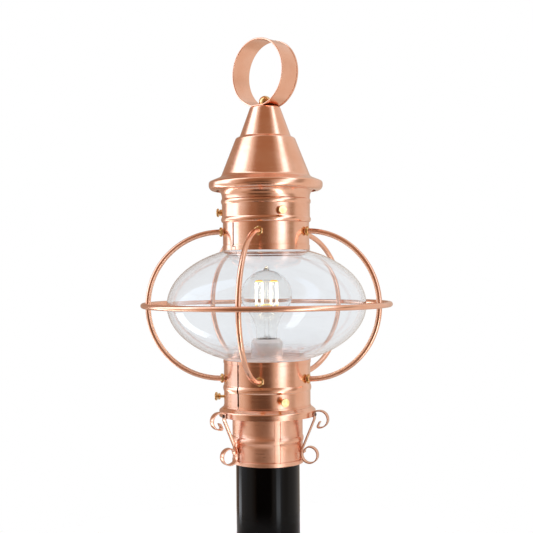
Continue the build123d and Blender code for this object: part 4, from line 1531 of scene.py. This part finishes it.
@dataclass
class Roof:
    """Spun roof, its skirt and the ring finial."""

    rim_r: float = 68.4
    lip_z: float = 445.0
    brim_z: float = 456.0
    tier_low: float = 462.0
    tier_step: float = 508.0
    tier_high: float = 510.2
    upper_r: float = 30.8
    step_r: float = 35.6
    top_r: float = 17.9
    lip_return: float = 8.5
    roof_bends: tuple[float, ...] = (2.4, 0.8, 3.4, 6.0, 3.8, 6.5)
    foot_gap: float = 0.3
    foot_rise: float = 0.5
    foot_bend: float = 0.4
    # Stations at the foot's end whose inner side isn't raised
    foot_level: int = 3
    roll_low: float = 0.3
    roll_height: float = 6.2
    bead_z: float = 432.2
    bead_height: float = 6.4
    neck_z: float = 437.2
    cove_r: float = 12.0
    cove_turn: float = 50.0
    finial_r: float = 41.2
    finial_z: float = 585.95
    finial_angle: float = -133.0
    finial_width: float = 28.8
    finial_sheet: float = 1.2
    finial_hem: float = 2.6
    finial_proud: float = 0.6
    finial_edge: float = 0.28
    finial_fold: float = 0.85
    finial_step: float = 2.0
    ball_r: float = 7.4
    ball_base: float = 548.26
    ball_flat: float = 6.5
    ball_stations: int = 40

    def cap(self) -> Mesh:
        """Two cones with a step between them, and a sloped brim whose lip is rolled under.

        Returns:
            Vertices, and blocks of faces.
        """
        path = bend(
            (
                (0.0, DATUM.roof_top),
                (self.top_r, DATUM.roof_top),
                (self.upper_r, self.tier_high),
                (self.step_r, self.tier_step),
                (DATUM.skirt_r + DATUM.sheet, self.tier_low),
                (self.rim_r, self.brim_z),
                (self.rim_r, self.lip_z),
                (self.rim_r - self.lip_return, self.lip_z),
            ),
            self.roof_bends,
        )
        return sheet_turned(path, -DATUM.sheet)

    def skirt(self) -> Mesh:
        """Turned-in foot, rolled edge, plain band, bead and a cove up to the brim.

        The inner face stands one sheet inside the band up to the neck and one sheet off the cove above it,
        and one sheet over the foot except at the foot's last stations.

        Returns:
            Vertices, and blocks of faces.
        """
        r = DATUM.skirt_r
        low = DATUM.shoulder_z
        corners = ((DATUM.spigot_r + self.foot_gap, low), (r, low), (r, low + self.foot_rise))
        foot = bend(corners, (self.foot_bend,))
        half_roll = self.roll_height / 2.0
        roll = lens(r, low + self.roll_low + half_roll, half_roll, DATUM.bead_proud)
        bead = lens(r, self.bead_z, self.bead_height / 2.0, DATUM.bead_proud)
        cove, heading = arc(np.array((r, self.neck_z)), UPWARD, self.cove_r, -self.cove_turn)
        rise = self.brim_z - DATUM.sheet - cove[-1, 1]
        end = cove[-1] + np.array((rise / np.tan(radians(heading)), rise))
        path = chain((foot, roll, bead, cove, end[None]))
        band = np.where(path[:, 1] < self.neck_z, r - DATUM.sheet, np.inf)
        inner_r = np.minimum.reduce((path[:, 0], offset_path(path, DATUM.sheet)[:, 0], band))
        raised = np.arange(len(path)) < len(foot) - self.foot_level
        inner = np.column_stack((inner_r, path[:, 1] + DATUM.sheet * raised))
        return wall(turned(path, around()), turned(inner, around()))

    def finial(self) -> Mesh:
        """Strap with a folded hem along both edges, bent to a circle about a level axis.

        A point at radius r stands at z = r sin(a), or where that is lower, on the flattened foot at
        z = finial_r - r over the roof's top.

        Returns:
            Vertices, and blocks of faces.
        """
        middle = self.finial_r - self.finial_proud
        inner = middle - self.finial_sheet
        half = self.finial_width / 2.0
        hem = half - self.finial_hem
        edge = self.finial_edge
        folds = (self.finial_fold,) * 2
        section = bend(
            (
                (inner, 0.0),
                (inner, half),
                (self.finial_r, half),
                (self.finial_r, hem),
                (middle, hem - edge),
                (middle, edge - hem),
                (self.finial_r, -hem),
                (self.finial_r, -half),
                (inner, -half),
                (inner, -SUPPORT),
            ),
            (*folds, *(edge / 2.0,) * 4, *folds),
        )
        swept = np.radians(around(step=self.finial_step))[:, None, None]
        radius = section[None, :, :1]
        along = section[None, :, 1:] * ray(self.finial_angle)
        level = radius * np.cos(swept) * ray(self.finial_angle + 90.0) + along
        seat = DATUM.roof_top + DATUM.snug + self.finial_r - radius
        height = np.maximum(self.finial_z + radius * np.sin(swept), seat)
        return skin(level + height * UP, round_rows=True)

    def ball(self) -> Mesh:
        """Ball nut, a sphere cut off at its flat base: r = ball * sin(t), z = centre + ball * cos(t).

        Returns:
            Vertices, and blocks of faces.
        """
        centre = self.ball_base + sqrt(self.ball_r**2 - self.ball_flat**2)
        t = np.linspace(0.0, np.pi - asin(self.ball_flat / self.ball_r), self.ball_stations)
        sphere = np.column_stack((self.ball_r * np.sin(t), centre + self.ball_r * np.cos(t)))
        return solid_turned(np.vstack((sphere, ((0.0, self.ball_base),))), SMALL_STEP)

    def build(self, frame: Frame) -> None:
        """Makes the roof's pieces.

        Args:
            frame: The loaded frame.
        """
        roof = Body.ROOF.value
        fit("spun_roof", self.cap(), COPPER, roof, "roof_cap")
        fit("roof_band", self.skirt(), COPPER, roof, "roof_skirt")
        rolled = replace(COPPER, title="rolled_copper_ring", axis=tuple(ray(self.finial_angle)))
        fit("ring_finial", self.finial(), rolled, roof, "finial_ring")
        fit("brass_ball", self.ball(), BRASS, roof, "ball_nut")
        dress_nodes(frame, BRASS, "upper_screw_bushes")
        dress_nodes(frame, ZINC, "finial_stud", "finial_nut")


@dataclass
class ThumbScrews:
    """Six turned brass screws: a flat knurled head, a groove, a collar and a shank."""

    shank_r: float = 1.75
    tip: float = 47.5
    head_r: float = 5.1
    head_height: float = 2.0
    neck: float = 1.6
    collar_r: float = 3.9
    collar_height: float = 2.2
    upper_face: float = 60.2
    lower_face: float = 64.0
    knurl: float = 0.14
    knurls: int = 30
    knurl_stations: int = 4
    edge: float = 0.3

    def screw(self, face: float) -> Array:
        """Turned profile whose head's rim rises and falls as cos(knurls * angle).

        Args:
            face: How far the head's face stands from the lantern's axis.
        Returns:
            Points about the Z axis, rows by columns.
        """
        back = face - self.head_height
        collar_face = back - self.neck
        collar_back = collar_face - self.collar_height
        path = bend(
            (
                (0.0, self.tip),
                (self.shank_r, self.tip),
                (self.shank_r, collar_back),
                (self.collar_r, collar_back),
                (self.collar_r, collar_face),
                (self.shank_r, collar_face),
                (self.shank_r, back),
                (self.head_r, back),
                (self.head_r, face),
                (0.0, face),
            ),
            (self.edge, 0.0, self.edge, self.edge, 0.0, 0.0, self.edge, 2.0 * self.edge),
        )
        angles = around(step=360.0 / (self.knurls * self.knurl_stations))
        rim = ease(path[:, 0], self.head_r - 2.0 * self.edge, self.head_r)[:, None]
        radius = path[:, :1] - self.knurl * rim * (1.0 - np.cos(np.radians(self.knurls * angles)))
        return spun(radius, path[:, 1:], angles)

    def build(self) -> None:
        """Makes the screws, each on its own body."""
        upper = ("upper", self.upper_face, DATUM.upper_screw_z)
        lower = ("lower", self.lower_face, DATUM.lower_screw_z)
        for row, face, height in (upper, lower):
            for number, angle in enumerate(spread(DATUM.screw_count, DATUM.screw_start), start=1):
                node = f"{row}_thumb_screw_{number}"
                mesh_data = skin(outward(self.screw(face), angle, height))
                fit(f"knurled_{row}_{number}", mesh_data, BRASS, node, node)


@dataclass
class Bulb:
    """Clear screw bulb with a cage of lit strands."""

    base_z: float = 239.95
    length: float = 111.5
    glass_r: float = 30.6
    glass_wall: float = 0.8
    glass_step: float = 3.0
    crown_stations: int = 20
    dome_stations: int = 30
    neck_r: float = 12.65
    neck_height: float = 5.6
    pip_r: float = 4.4
    pip_core: float = 0.6
    pip_rise: float = 4.2
    cap_r: float = 13.2
    cap_top: float = 265.95
    cap_low: float = 246.45
    cap_foot: float = 1.0
    cap_plain: float = 2.0
    cap_wall: float = 0.35
    cap_floor: float = 0.1
    cap_rows: int = 90
    thread_pitch: float = 3.63
    thread_depth: float = 0.75
    thread_fade: float = 2.0
    insulator_r: float = 9.0
    insulator_gap: float = 0.5
    insulator_bend: float = 0.3
    tip_r: float = 4.0
    tip_height: float = 1.5
    tip_stations: int = 9
    seal: float = 5.0
    stem_r: float = 3.0
    stem_flare: float = 9.0
    stem_rise: float = 20.0
    stem_bends: tuple[float, ...] = (0.3, 4.0, 0.6, 0.6, 1.0)
    rod_r: float = 1.5
    strands: int = 8
    strand_circle: float = 13.5
    strand_height: float = 30.0
    strand_r: float = 1.05
    strand_sides: int = 10
    strand_bend: float = 1.6
    strand_lift: float = 2.0
    support_r: float = 0.3
    support_sides: int = 8
    support_stations: int = 5

    @property
    def top(self) -> float:
        """Height of the dome's top."""
        return self.base_z + self.length

    @property
    def strand_low(self) -> float:
        """Height of the strands' lower ends."""
        return self.top - self.glass_r - self.strand_height / 2.0 + self.strand_lift

    def glass(self) -> Mesh:
        """Sphere with a drawn pip, then a hollow arc of the same turn into a straight neck.

        The hollow arc's radius is (drop^2 + step^2) / (2 step) - sphere, and its turn asin(drop / (sphere +
        hollow)). The pip lifts the outer face by its rise, easing to nothing at its foot.

        Returns:
            Vertices, and blocks of faces.
        """
        drop = self.top - self.glass_r - self.cap_top - self.neck_height
        step = self.glass_r - self.neck_r
        hollow = (drop**2 + step**2) / (2.0 * step) - self.glass_r
        turn = asin(drop / (self.glass_r + hollow))
        crown = 2.0 * self.pip_r / self.glass_r
        below = np.linspace(crown, np.pi / 2.0 + turn, self.dome_stations)
        t = np.concatenate((np.linspace(0.0, crown, self.crown_stations), below[1:]))
        dome = self.glass_r * np.column_stack((np.sin(t), np.cos(t) - 1.0)) + (0.0, self.top)
        neck, _ = arc(dome[-1], DOWNWARD - degrees(turn), hollow, degrees(turn))
        foot = np.array(((self.neck_r, self.cap_top - self.seal),))
        outer = chain((dome, neck[1:], foot))
        inner = offset_path(outer, -self.glass_wall)
        outer[: len(dome), 1] += self.pip_rise * (1.0 - ease(dome[:, 0], self.pip_core, self.pip_r))
        angles = around(step=self.glass_step)
        return wall(turned(outer, angles), turned(inner, angles))

    def cap(self) -> Mesh:
        """Rolled screw shell: r = crest - depth / 2 * (1 - cos(angle - 360 z / pitch)) between plain ends.

        Returns:
            Vertices, and blocks of faces.
        """
        angles = around(step=SMALL_STEP)
        low = self.cap_low + self.cap_foot
        heights = np.linspace(low, self.cap_top, self.cap_rows)[:, None]
        phase = np.radians(angles) - 2.0 * np.pi * heights / self.thread_pitch
        depth = self.thread_depth * plateau(heights, low, self.cap_top - self.cap_plain, self.thread_fade)
        crest = self.cap_r - depth / 2.0 * (1.0 - np.cos(phase))
        radius = np.vstack((np.full((1, len(angles)), self.insulator_r), crest))
        heights = np.vstack((((self.cap_low,),), heights))
        inner = spun(radius - self.cap_wall, heights + self.cap_floor, angles)
        return wall(spun(radius, heights, angles), inner)

    def insulator(self) -> Mesh:
        """Black glass cone between the shell and the centre contact.

        Returns:
            Vertices, and blocks of faces.
        """
        low = self.base_z + self.tip_height
        high = self.cap_low + self.cap_foot
        wide = self.insulator_r - self.insulator_gap
        corners = ((0.0, low), (self.tip_r, low), (wide, self.cap_low), (wide, high), (0.0, high))
        path = bend(corners, (self.insulator_bend, self.insulator_bend, 0.0))
        return solid_turned(path, SMALL_STEP)

    def contact(self) -> Mesh:
        """Soldered button under the insulator: r = tip_r * sin(t), z = low + tip_height * cos(t).

        Returns:
            Vertices, and blocks of faces.
        """
        t = np.radians(np.linspace(180.0, 90.0, self.tip_stations))
        low = self.base_z + self.tip_height
        dome = np.column_stack((self.tip_r * np.sin(t), low + self.tip_height * np.cos(t)))
        return solid_turned(np.vstack((dome, ((0.0, low),))), COARSE_STEP)

    def stem(self) -> Mesh:
        """Flared glass foot and the rod that carries the strands.

        Returns:
            Vertices, and blocks of faces.
        """
        low = self.cap_top - self.seal
        rod = low + self.stem_flare + self.stem_rise
        high = self.strand_low + self.strand_height + 2.0 * self.rod_r
        wide = self.neck_r - self.glass_wall - DATUM.snug
        path = bend(
            (
                (0.0, low),
                (wide, low),
                (self.stem_r, low + self.stem_flare),
                (self.stem_r, rod),
                (self.rod_r, rod + 2.0 * self.rod_r),
                (self.rod_r, high),
                (0.0, high),
            ),
            self.stem_bends,
        )
        return solid_turned(path, COARSE_STEP)

    def filament(self) -> Mesh:
        """Wire that zigzags up and down round a circle, its turns rounded.

        Returns:
            Vertices, and blocks of faces.
        """
        low = self.strand_low
        high = low + self.strand_height
        corners = []
        for number, angle in enumerate(spread(self.strands, DATUM.front + 180.0 / self.strands)):
            ends = (high, low) if number % 2 else (low, high)
            corners += [self.strand_circle * ray(angle) + z * UP for z in ends]
        path = bend(corners, (self.strand_bend,) * (len(corners) - 2))
        across = unit(path * (1.0, 1.0, 0.0))
        return skin(carried(path, circle(self.strand_r, self.strand_sides), across), caps=True)

    def supports(self) -> Mesh:
        """Spokes from the rod to the filament's turns, above and below.

        Returns:
            Vertices, and blocks of faces.
        """
        pitch = 360.0 / self.strands
        end = self.strand_circle * cos(radians(pitch / 2.0)) - self.strand_r - DATUM.snug
        radii = np.linspace(self.rod_r, end, self.support_stations)[:, None]
        section = circle(self.support_r, self.support_sides)
        rows = ((DATUM.front, self.strand_low), (DATUM.front + pitch, self.strand_low + self.strand_height))
        return group(
            [
                skin(carried(radii * ray(angle) + height * UP, section, ray(angle + 90.0)), caps=True)
                for start, height in rows
                for angle in spread(self.strands // 2, start)
            ]
        )

    def build(self) -> None:
        """Makes the bulb's pieces."""
        bulb = Body.BULB.value
        half = self.strand_height / 2.0
        lit_wire = GlowingWire(middle=self.strand_low + half, half=half)
        fit("screw_cap", self.cap(), BRASS, bulb, "bulb_cap")
        fit("cap_cone", self.insulator(), INSULATOR, bulb, "bulb_insulator")
        fit("solder_button", self.contact(), BRASS, bulb, "bulb_tip")
        fit("bulb_envelope", self.glass(), BULB_GLASS, bulb, "bulb_glass")
        fit("stem_rod", self.stem(), STEM_GLASS, bulb, "bulb_stem")
        fit("lit_strands", self.filament(), lit_wire, bulb, "bulb_filament")
        fit("strand_spokes", self.supports(), ZINC, bulb, "filament_supports")


def band(tree: Tree, angle: Node, low: float, high: float, soft: float) -> Node:
    """Rises from 0 to 1 about one angle and falls back to 0 about another.

    Args:
        tree: The world's tree.
        angle: The angle looked at, in radians.
        low: Where the band starts.
        high: Where it ends.
        soft: Width of the rise and of the fall.
    Returns:
        The band's value.
    """
    half = soft / 2.0
    rise, fall = (
        add_node(
            tree,
            "ShaderNodeMapRange",
            {"Value": angle, "From Min": radians(start), "From Max": radians(end)},
            interpolation_type="SMOOTHSTEP",
        )
        for start, end in ((low - half, low + half), (high + half, high - half))
    )
    return add_node(tree, "ShaderNodeMath", {0: rise, 1: fall}, operation="MULTIPLY")


@dataclass(frozen=True)
class Panel:
    """A patch of the studio, seen from the object, with soft edges.

    Azimuth 0 is toward the camera and 90 is to the right.
    """

    left: float
    right: float
    low: float
    high: float
    colour: str
    strength: float
    soft: float

    @property
    def light(self) -> list[float]:
        """Linear colour times the strength, with an alpha of 1."""
        return [channel * self.strength for channel in linear(self.colour)[:3]] + [1.0]


@dataclass
class Studio:
    """Camera, floor and a surround of soft panels."""

    distance: float = 1308.0
    height: float = 354.4
    aside: float = 0.2
    roll: float = 0.45
    lens_mm: float = 73.6
    sensor_mm: float = 36.0
    view_metres: float = 100.0
    floor_r: float = 400.0
    floor_top: float = -0.5
    floor_base: float = -3.0
    fade_start: float = 150.0
    fade_end: float = 350.0
    floor_colour: str = "#EFEFEE"
    floor_lift: float = 0.45
    white: str = "#FFFFFF"
    room: str = "#EAE0D9"
    lean: float = 0.6
    # A panel's level edges are this many times softer than its upright ones
    level_soft: float = 2.0
    panels: tuple[Panel, ...] = (
        # Copper-coloured room in front, darker below
        Panel(-56.0, 16.0, -80.0, 80.0, "#A8846A", 1.0, 30.0),
        Panel(-72.0, -36.0, 26.0, 80.0, "#A8846A", 1.0, 8.0),
        Panel(-24.0, 3.0, -80.0, 24.0, "#866A54", 1.0, 16.0),
        Panel(-44.0, 14.0, -80.0, -3.0, "#44342A", 1.0, 12.0),
        Panel(-70.0, 30.0, -34.0, -18.0, "#B89E8A", 1.0, 3.0),
        # Walls behind, right and left
        Panel(140.0, 260.0, -60.0, 70.0, "#D4C4B6", 1.0, 20.0),
        Panel(-260.0, -130.0, -60.0, 70.0, "#B39885", 1.0, 8.0),
        # Daylight on the left
        Panel(-110.0, -82.0, -9.0, -2.0, "#DCEBFF", 1.6, 4.0),
        Panel(-124.0, -79.0, -2.0, 24.0, "#DCEBFF", 3.0, 4.0),
        Panel(-126.0, -90.0, 24.0, 66.0, "#DCEBFF", 3.0, 4.0),
        # Shade and daylight on the right
        Panel(60.0, 78.0, -9.0, 30.0, "#A4917F", 1.0, 10.0),
        Panel(31.0, 51.0, -8.0, 66.0, "#DCEBFF", 2.8, 8.0),
        # Low strips that the black post reflects
        Panel(-130.0, -112.0, -60.0, -11.0, "#EEF3FA", 4.0, 1.5),
        Panel(30.0, 45.0, -60.0, -11.0, "#EEF3FA", 5.0, 1.5),
    )

    def camera(self) -> None:
        """Level camera in front, rolled a little as the photograph was."""
        data = bpy.data.cameras.new("studio_camera")
        data.sensor_width = self.sensor_mm
        data.lens = self.lens_mm
        data.clip_end = self.view_metres
        holder = bpy.data.objects.new("studio_camera", data)
        level = Matrix.Rotation(radians(90.0), 4, "X") @ Matrix.Rotation(radians(-self.roll), 4, "Z")
        place = Vector((self.aside, -self.distance, self.height)) * MM
        holder.matrix_world = Matrix.Translation(place) @ level
        bpy.context.scene.collection.objects.link(holder)
        bpy.context.scene.camera = holder

    def world(self) -> None:
        """Surround of panels for reflected light, plain white where the camera or glass looks past it.

        A panel's azimuth leans by a share of the elevation above the horizon, and each panel covers those
        before it.
        """
        made = bpy.data.worlds.new("studio_surround")
        made.use_nodes = True
        tree = made.node_tree
        tree.nodes.clear()
        look = add_node(tree, "ShaderNodeTexCoord", {})
        parts = add_node(tree, "ShaderNodeSeparateXYZ", {0: look.outputs["Generated"]})
        ahead = add_node(tree, "ShaderNodeMath", {0: parts.outputs["Y"], 1: -1.0}, operation="MULTIPLY")
        azimuth = add_node(tree, "ShaderNodeMath", {0: parts.outputs["X"], 1: ahead}, operation="ARCTAN2")
        elevation = add_node(tree, "ShaderNodeMath", {0: parts.outputs["Z"]}, operation="ARCSINE")
        raised = add_node(tree, "ShaderNodeMath", {0: elevation, 1: 0.0}, operation="MAXIMUM")
        terms = {0: raised, 1: -self.lean, 2: azimuth}
        leaned = add_node(tree, "ShaderNodeMath", terms, operation="MULTIPLY_ADD")
        colour: Node | tuple[float, ...] = linear(self.room)
        for panel in self.panels:
            across = band(tree, leaned, panel.left, panel.right, panel.soft)
            upright = band(tree, elevation, panel.low, panel.high, self.level_soft * panel.soft)
            inside = add_node(tree, "ShaderNodeMath", {0: across, 1: upright}, operation="MULTIPLY")
            blend = {"Factor": inside, "A": colour, "B": panel.light}
            colour = add_node(tree, "ShaderNodeMix", blend, data_type="RGBA")
        surround = add_node(tree, "ShaderNodeBackground", {"Color": colour, "Strength": 1.0})
        plain = add_node(tree, "ShaderNodeBackground", {"Color": linear(self.white), "Strength": 1.0})
        path = add_node(tree, "ShaderNodeLightPath", {})
        seen = add_node(
            tree,
            "ShaderNodeMath",
            {0: path.outputs["Is Camera Ray"], 1: path.outputs["Is Transmission Ray"]},
            operation="MAXIMUM",
        )
        mixed = add_node(tree, "ShaderNodeMixShader", {0: seen, 1: surround, 2: plain})
        add_node(tree, "ShaderNodeOutputWorld", {"Surface": mixed})
        bpy.context.scene.world = made

    def floor(self) -> None:
        """Pale round floor that fades into the white round it and keeps the shadow at the post's foot."""
        made = bpy.data.materials.new("pale_floor")
        made.use_nodes = True
        tree = made.node_tree
        tree.nodes.clear()
        place = add_node(tree, "ShaderNodeTexCoord", {})
        far = add_node(tree, "ShaderNodeVectorMath", {0: place.outputs["Object"]}, operation="LENGTH")
        fade = add_node(
            tree,
            "ShaderNodeMapRange",
            {"Value": far.outputs["Value"], "From Min": self.fade_start * MM, "From Max": self.fade_end * MM},
            interpolation_type="SMOOTHSTEP",
        )
        matt = add_node(tree, "ShaderNodeBsdfDiffuse", {"Color": linear(self.floor_colour)})
        path = add_node(tree, "ShaderNodeLightPath", {})
        seen = {0: path.outputs["Is Camera Ray"], 1: self.floor_lift}
        lift = add_node(tree, "ShaderNodeMath", seen, operation="MULTIPLY")
        glow = add_node(tree, "ShaderNodeEmission", {"Color": linear(self.white), "Strength": lift})
        lifted = add_node(tree, "ShaderNodeAddShader", {0: matt, 1: glow})
        clear = add_node(tree, "ShaderNodeBsdfTransparent", {})
        mixed = add_node(tree, "ShaderNodeMixShader", {0: fade, 1: lifted, 2: clear})
        add_node(tree, "ShaderNodeOutputMaterial", {"Surface": mixed})
        top, base = self.floor_top, self.floor_base
        disc = np.array(((0.0, top), (self.floor_r, top), (self.floor_r, base), (0.0, base)))
        ground = build_object("studio_floor", solid_turned(disc, COARSE_STEP))
        ground.data.materials.append(made)

    def build(self) -> None:
        """Sets up the whole studio."""
        bpy.context.scene.view_settings.view_transform = "Standard"
        self.camera()
        self.world()
        self.floor()


def main() -> None:
    """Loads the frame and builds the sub-assemblies in order."""
    logging.basicConfig(level=logging.INFO, format="%(name)s: %(message)s")
    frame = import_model()
    Studio().build()
    PostFitter().build(frame)
    LampHolder().build(frame)
    Cage().build(frame)
    Roof().build(frame)
    ThumbScrews().build()
    Bulb().build()
    LOG.info("all pieces are in place")


if __name__ == "__main__":
    main()
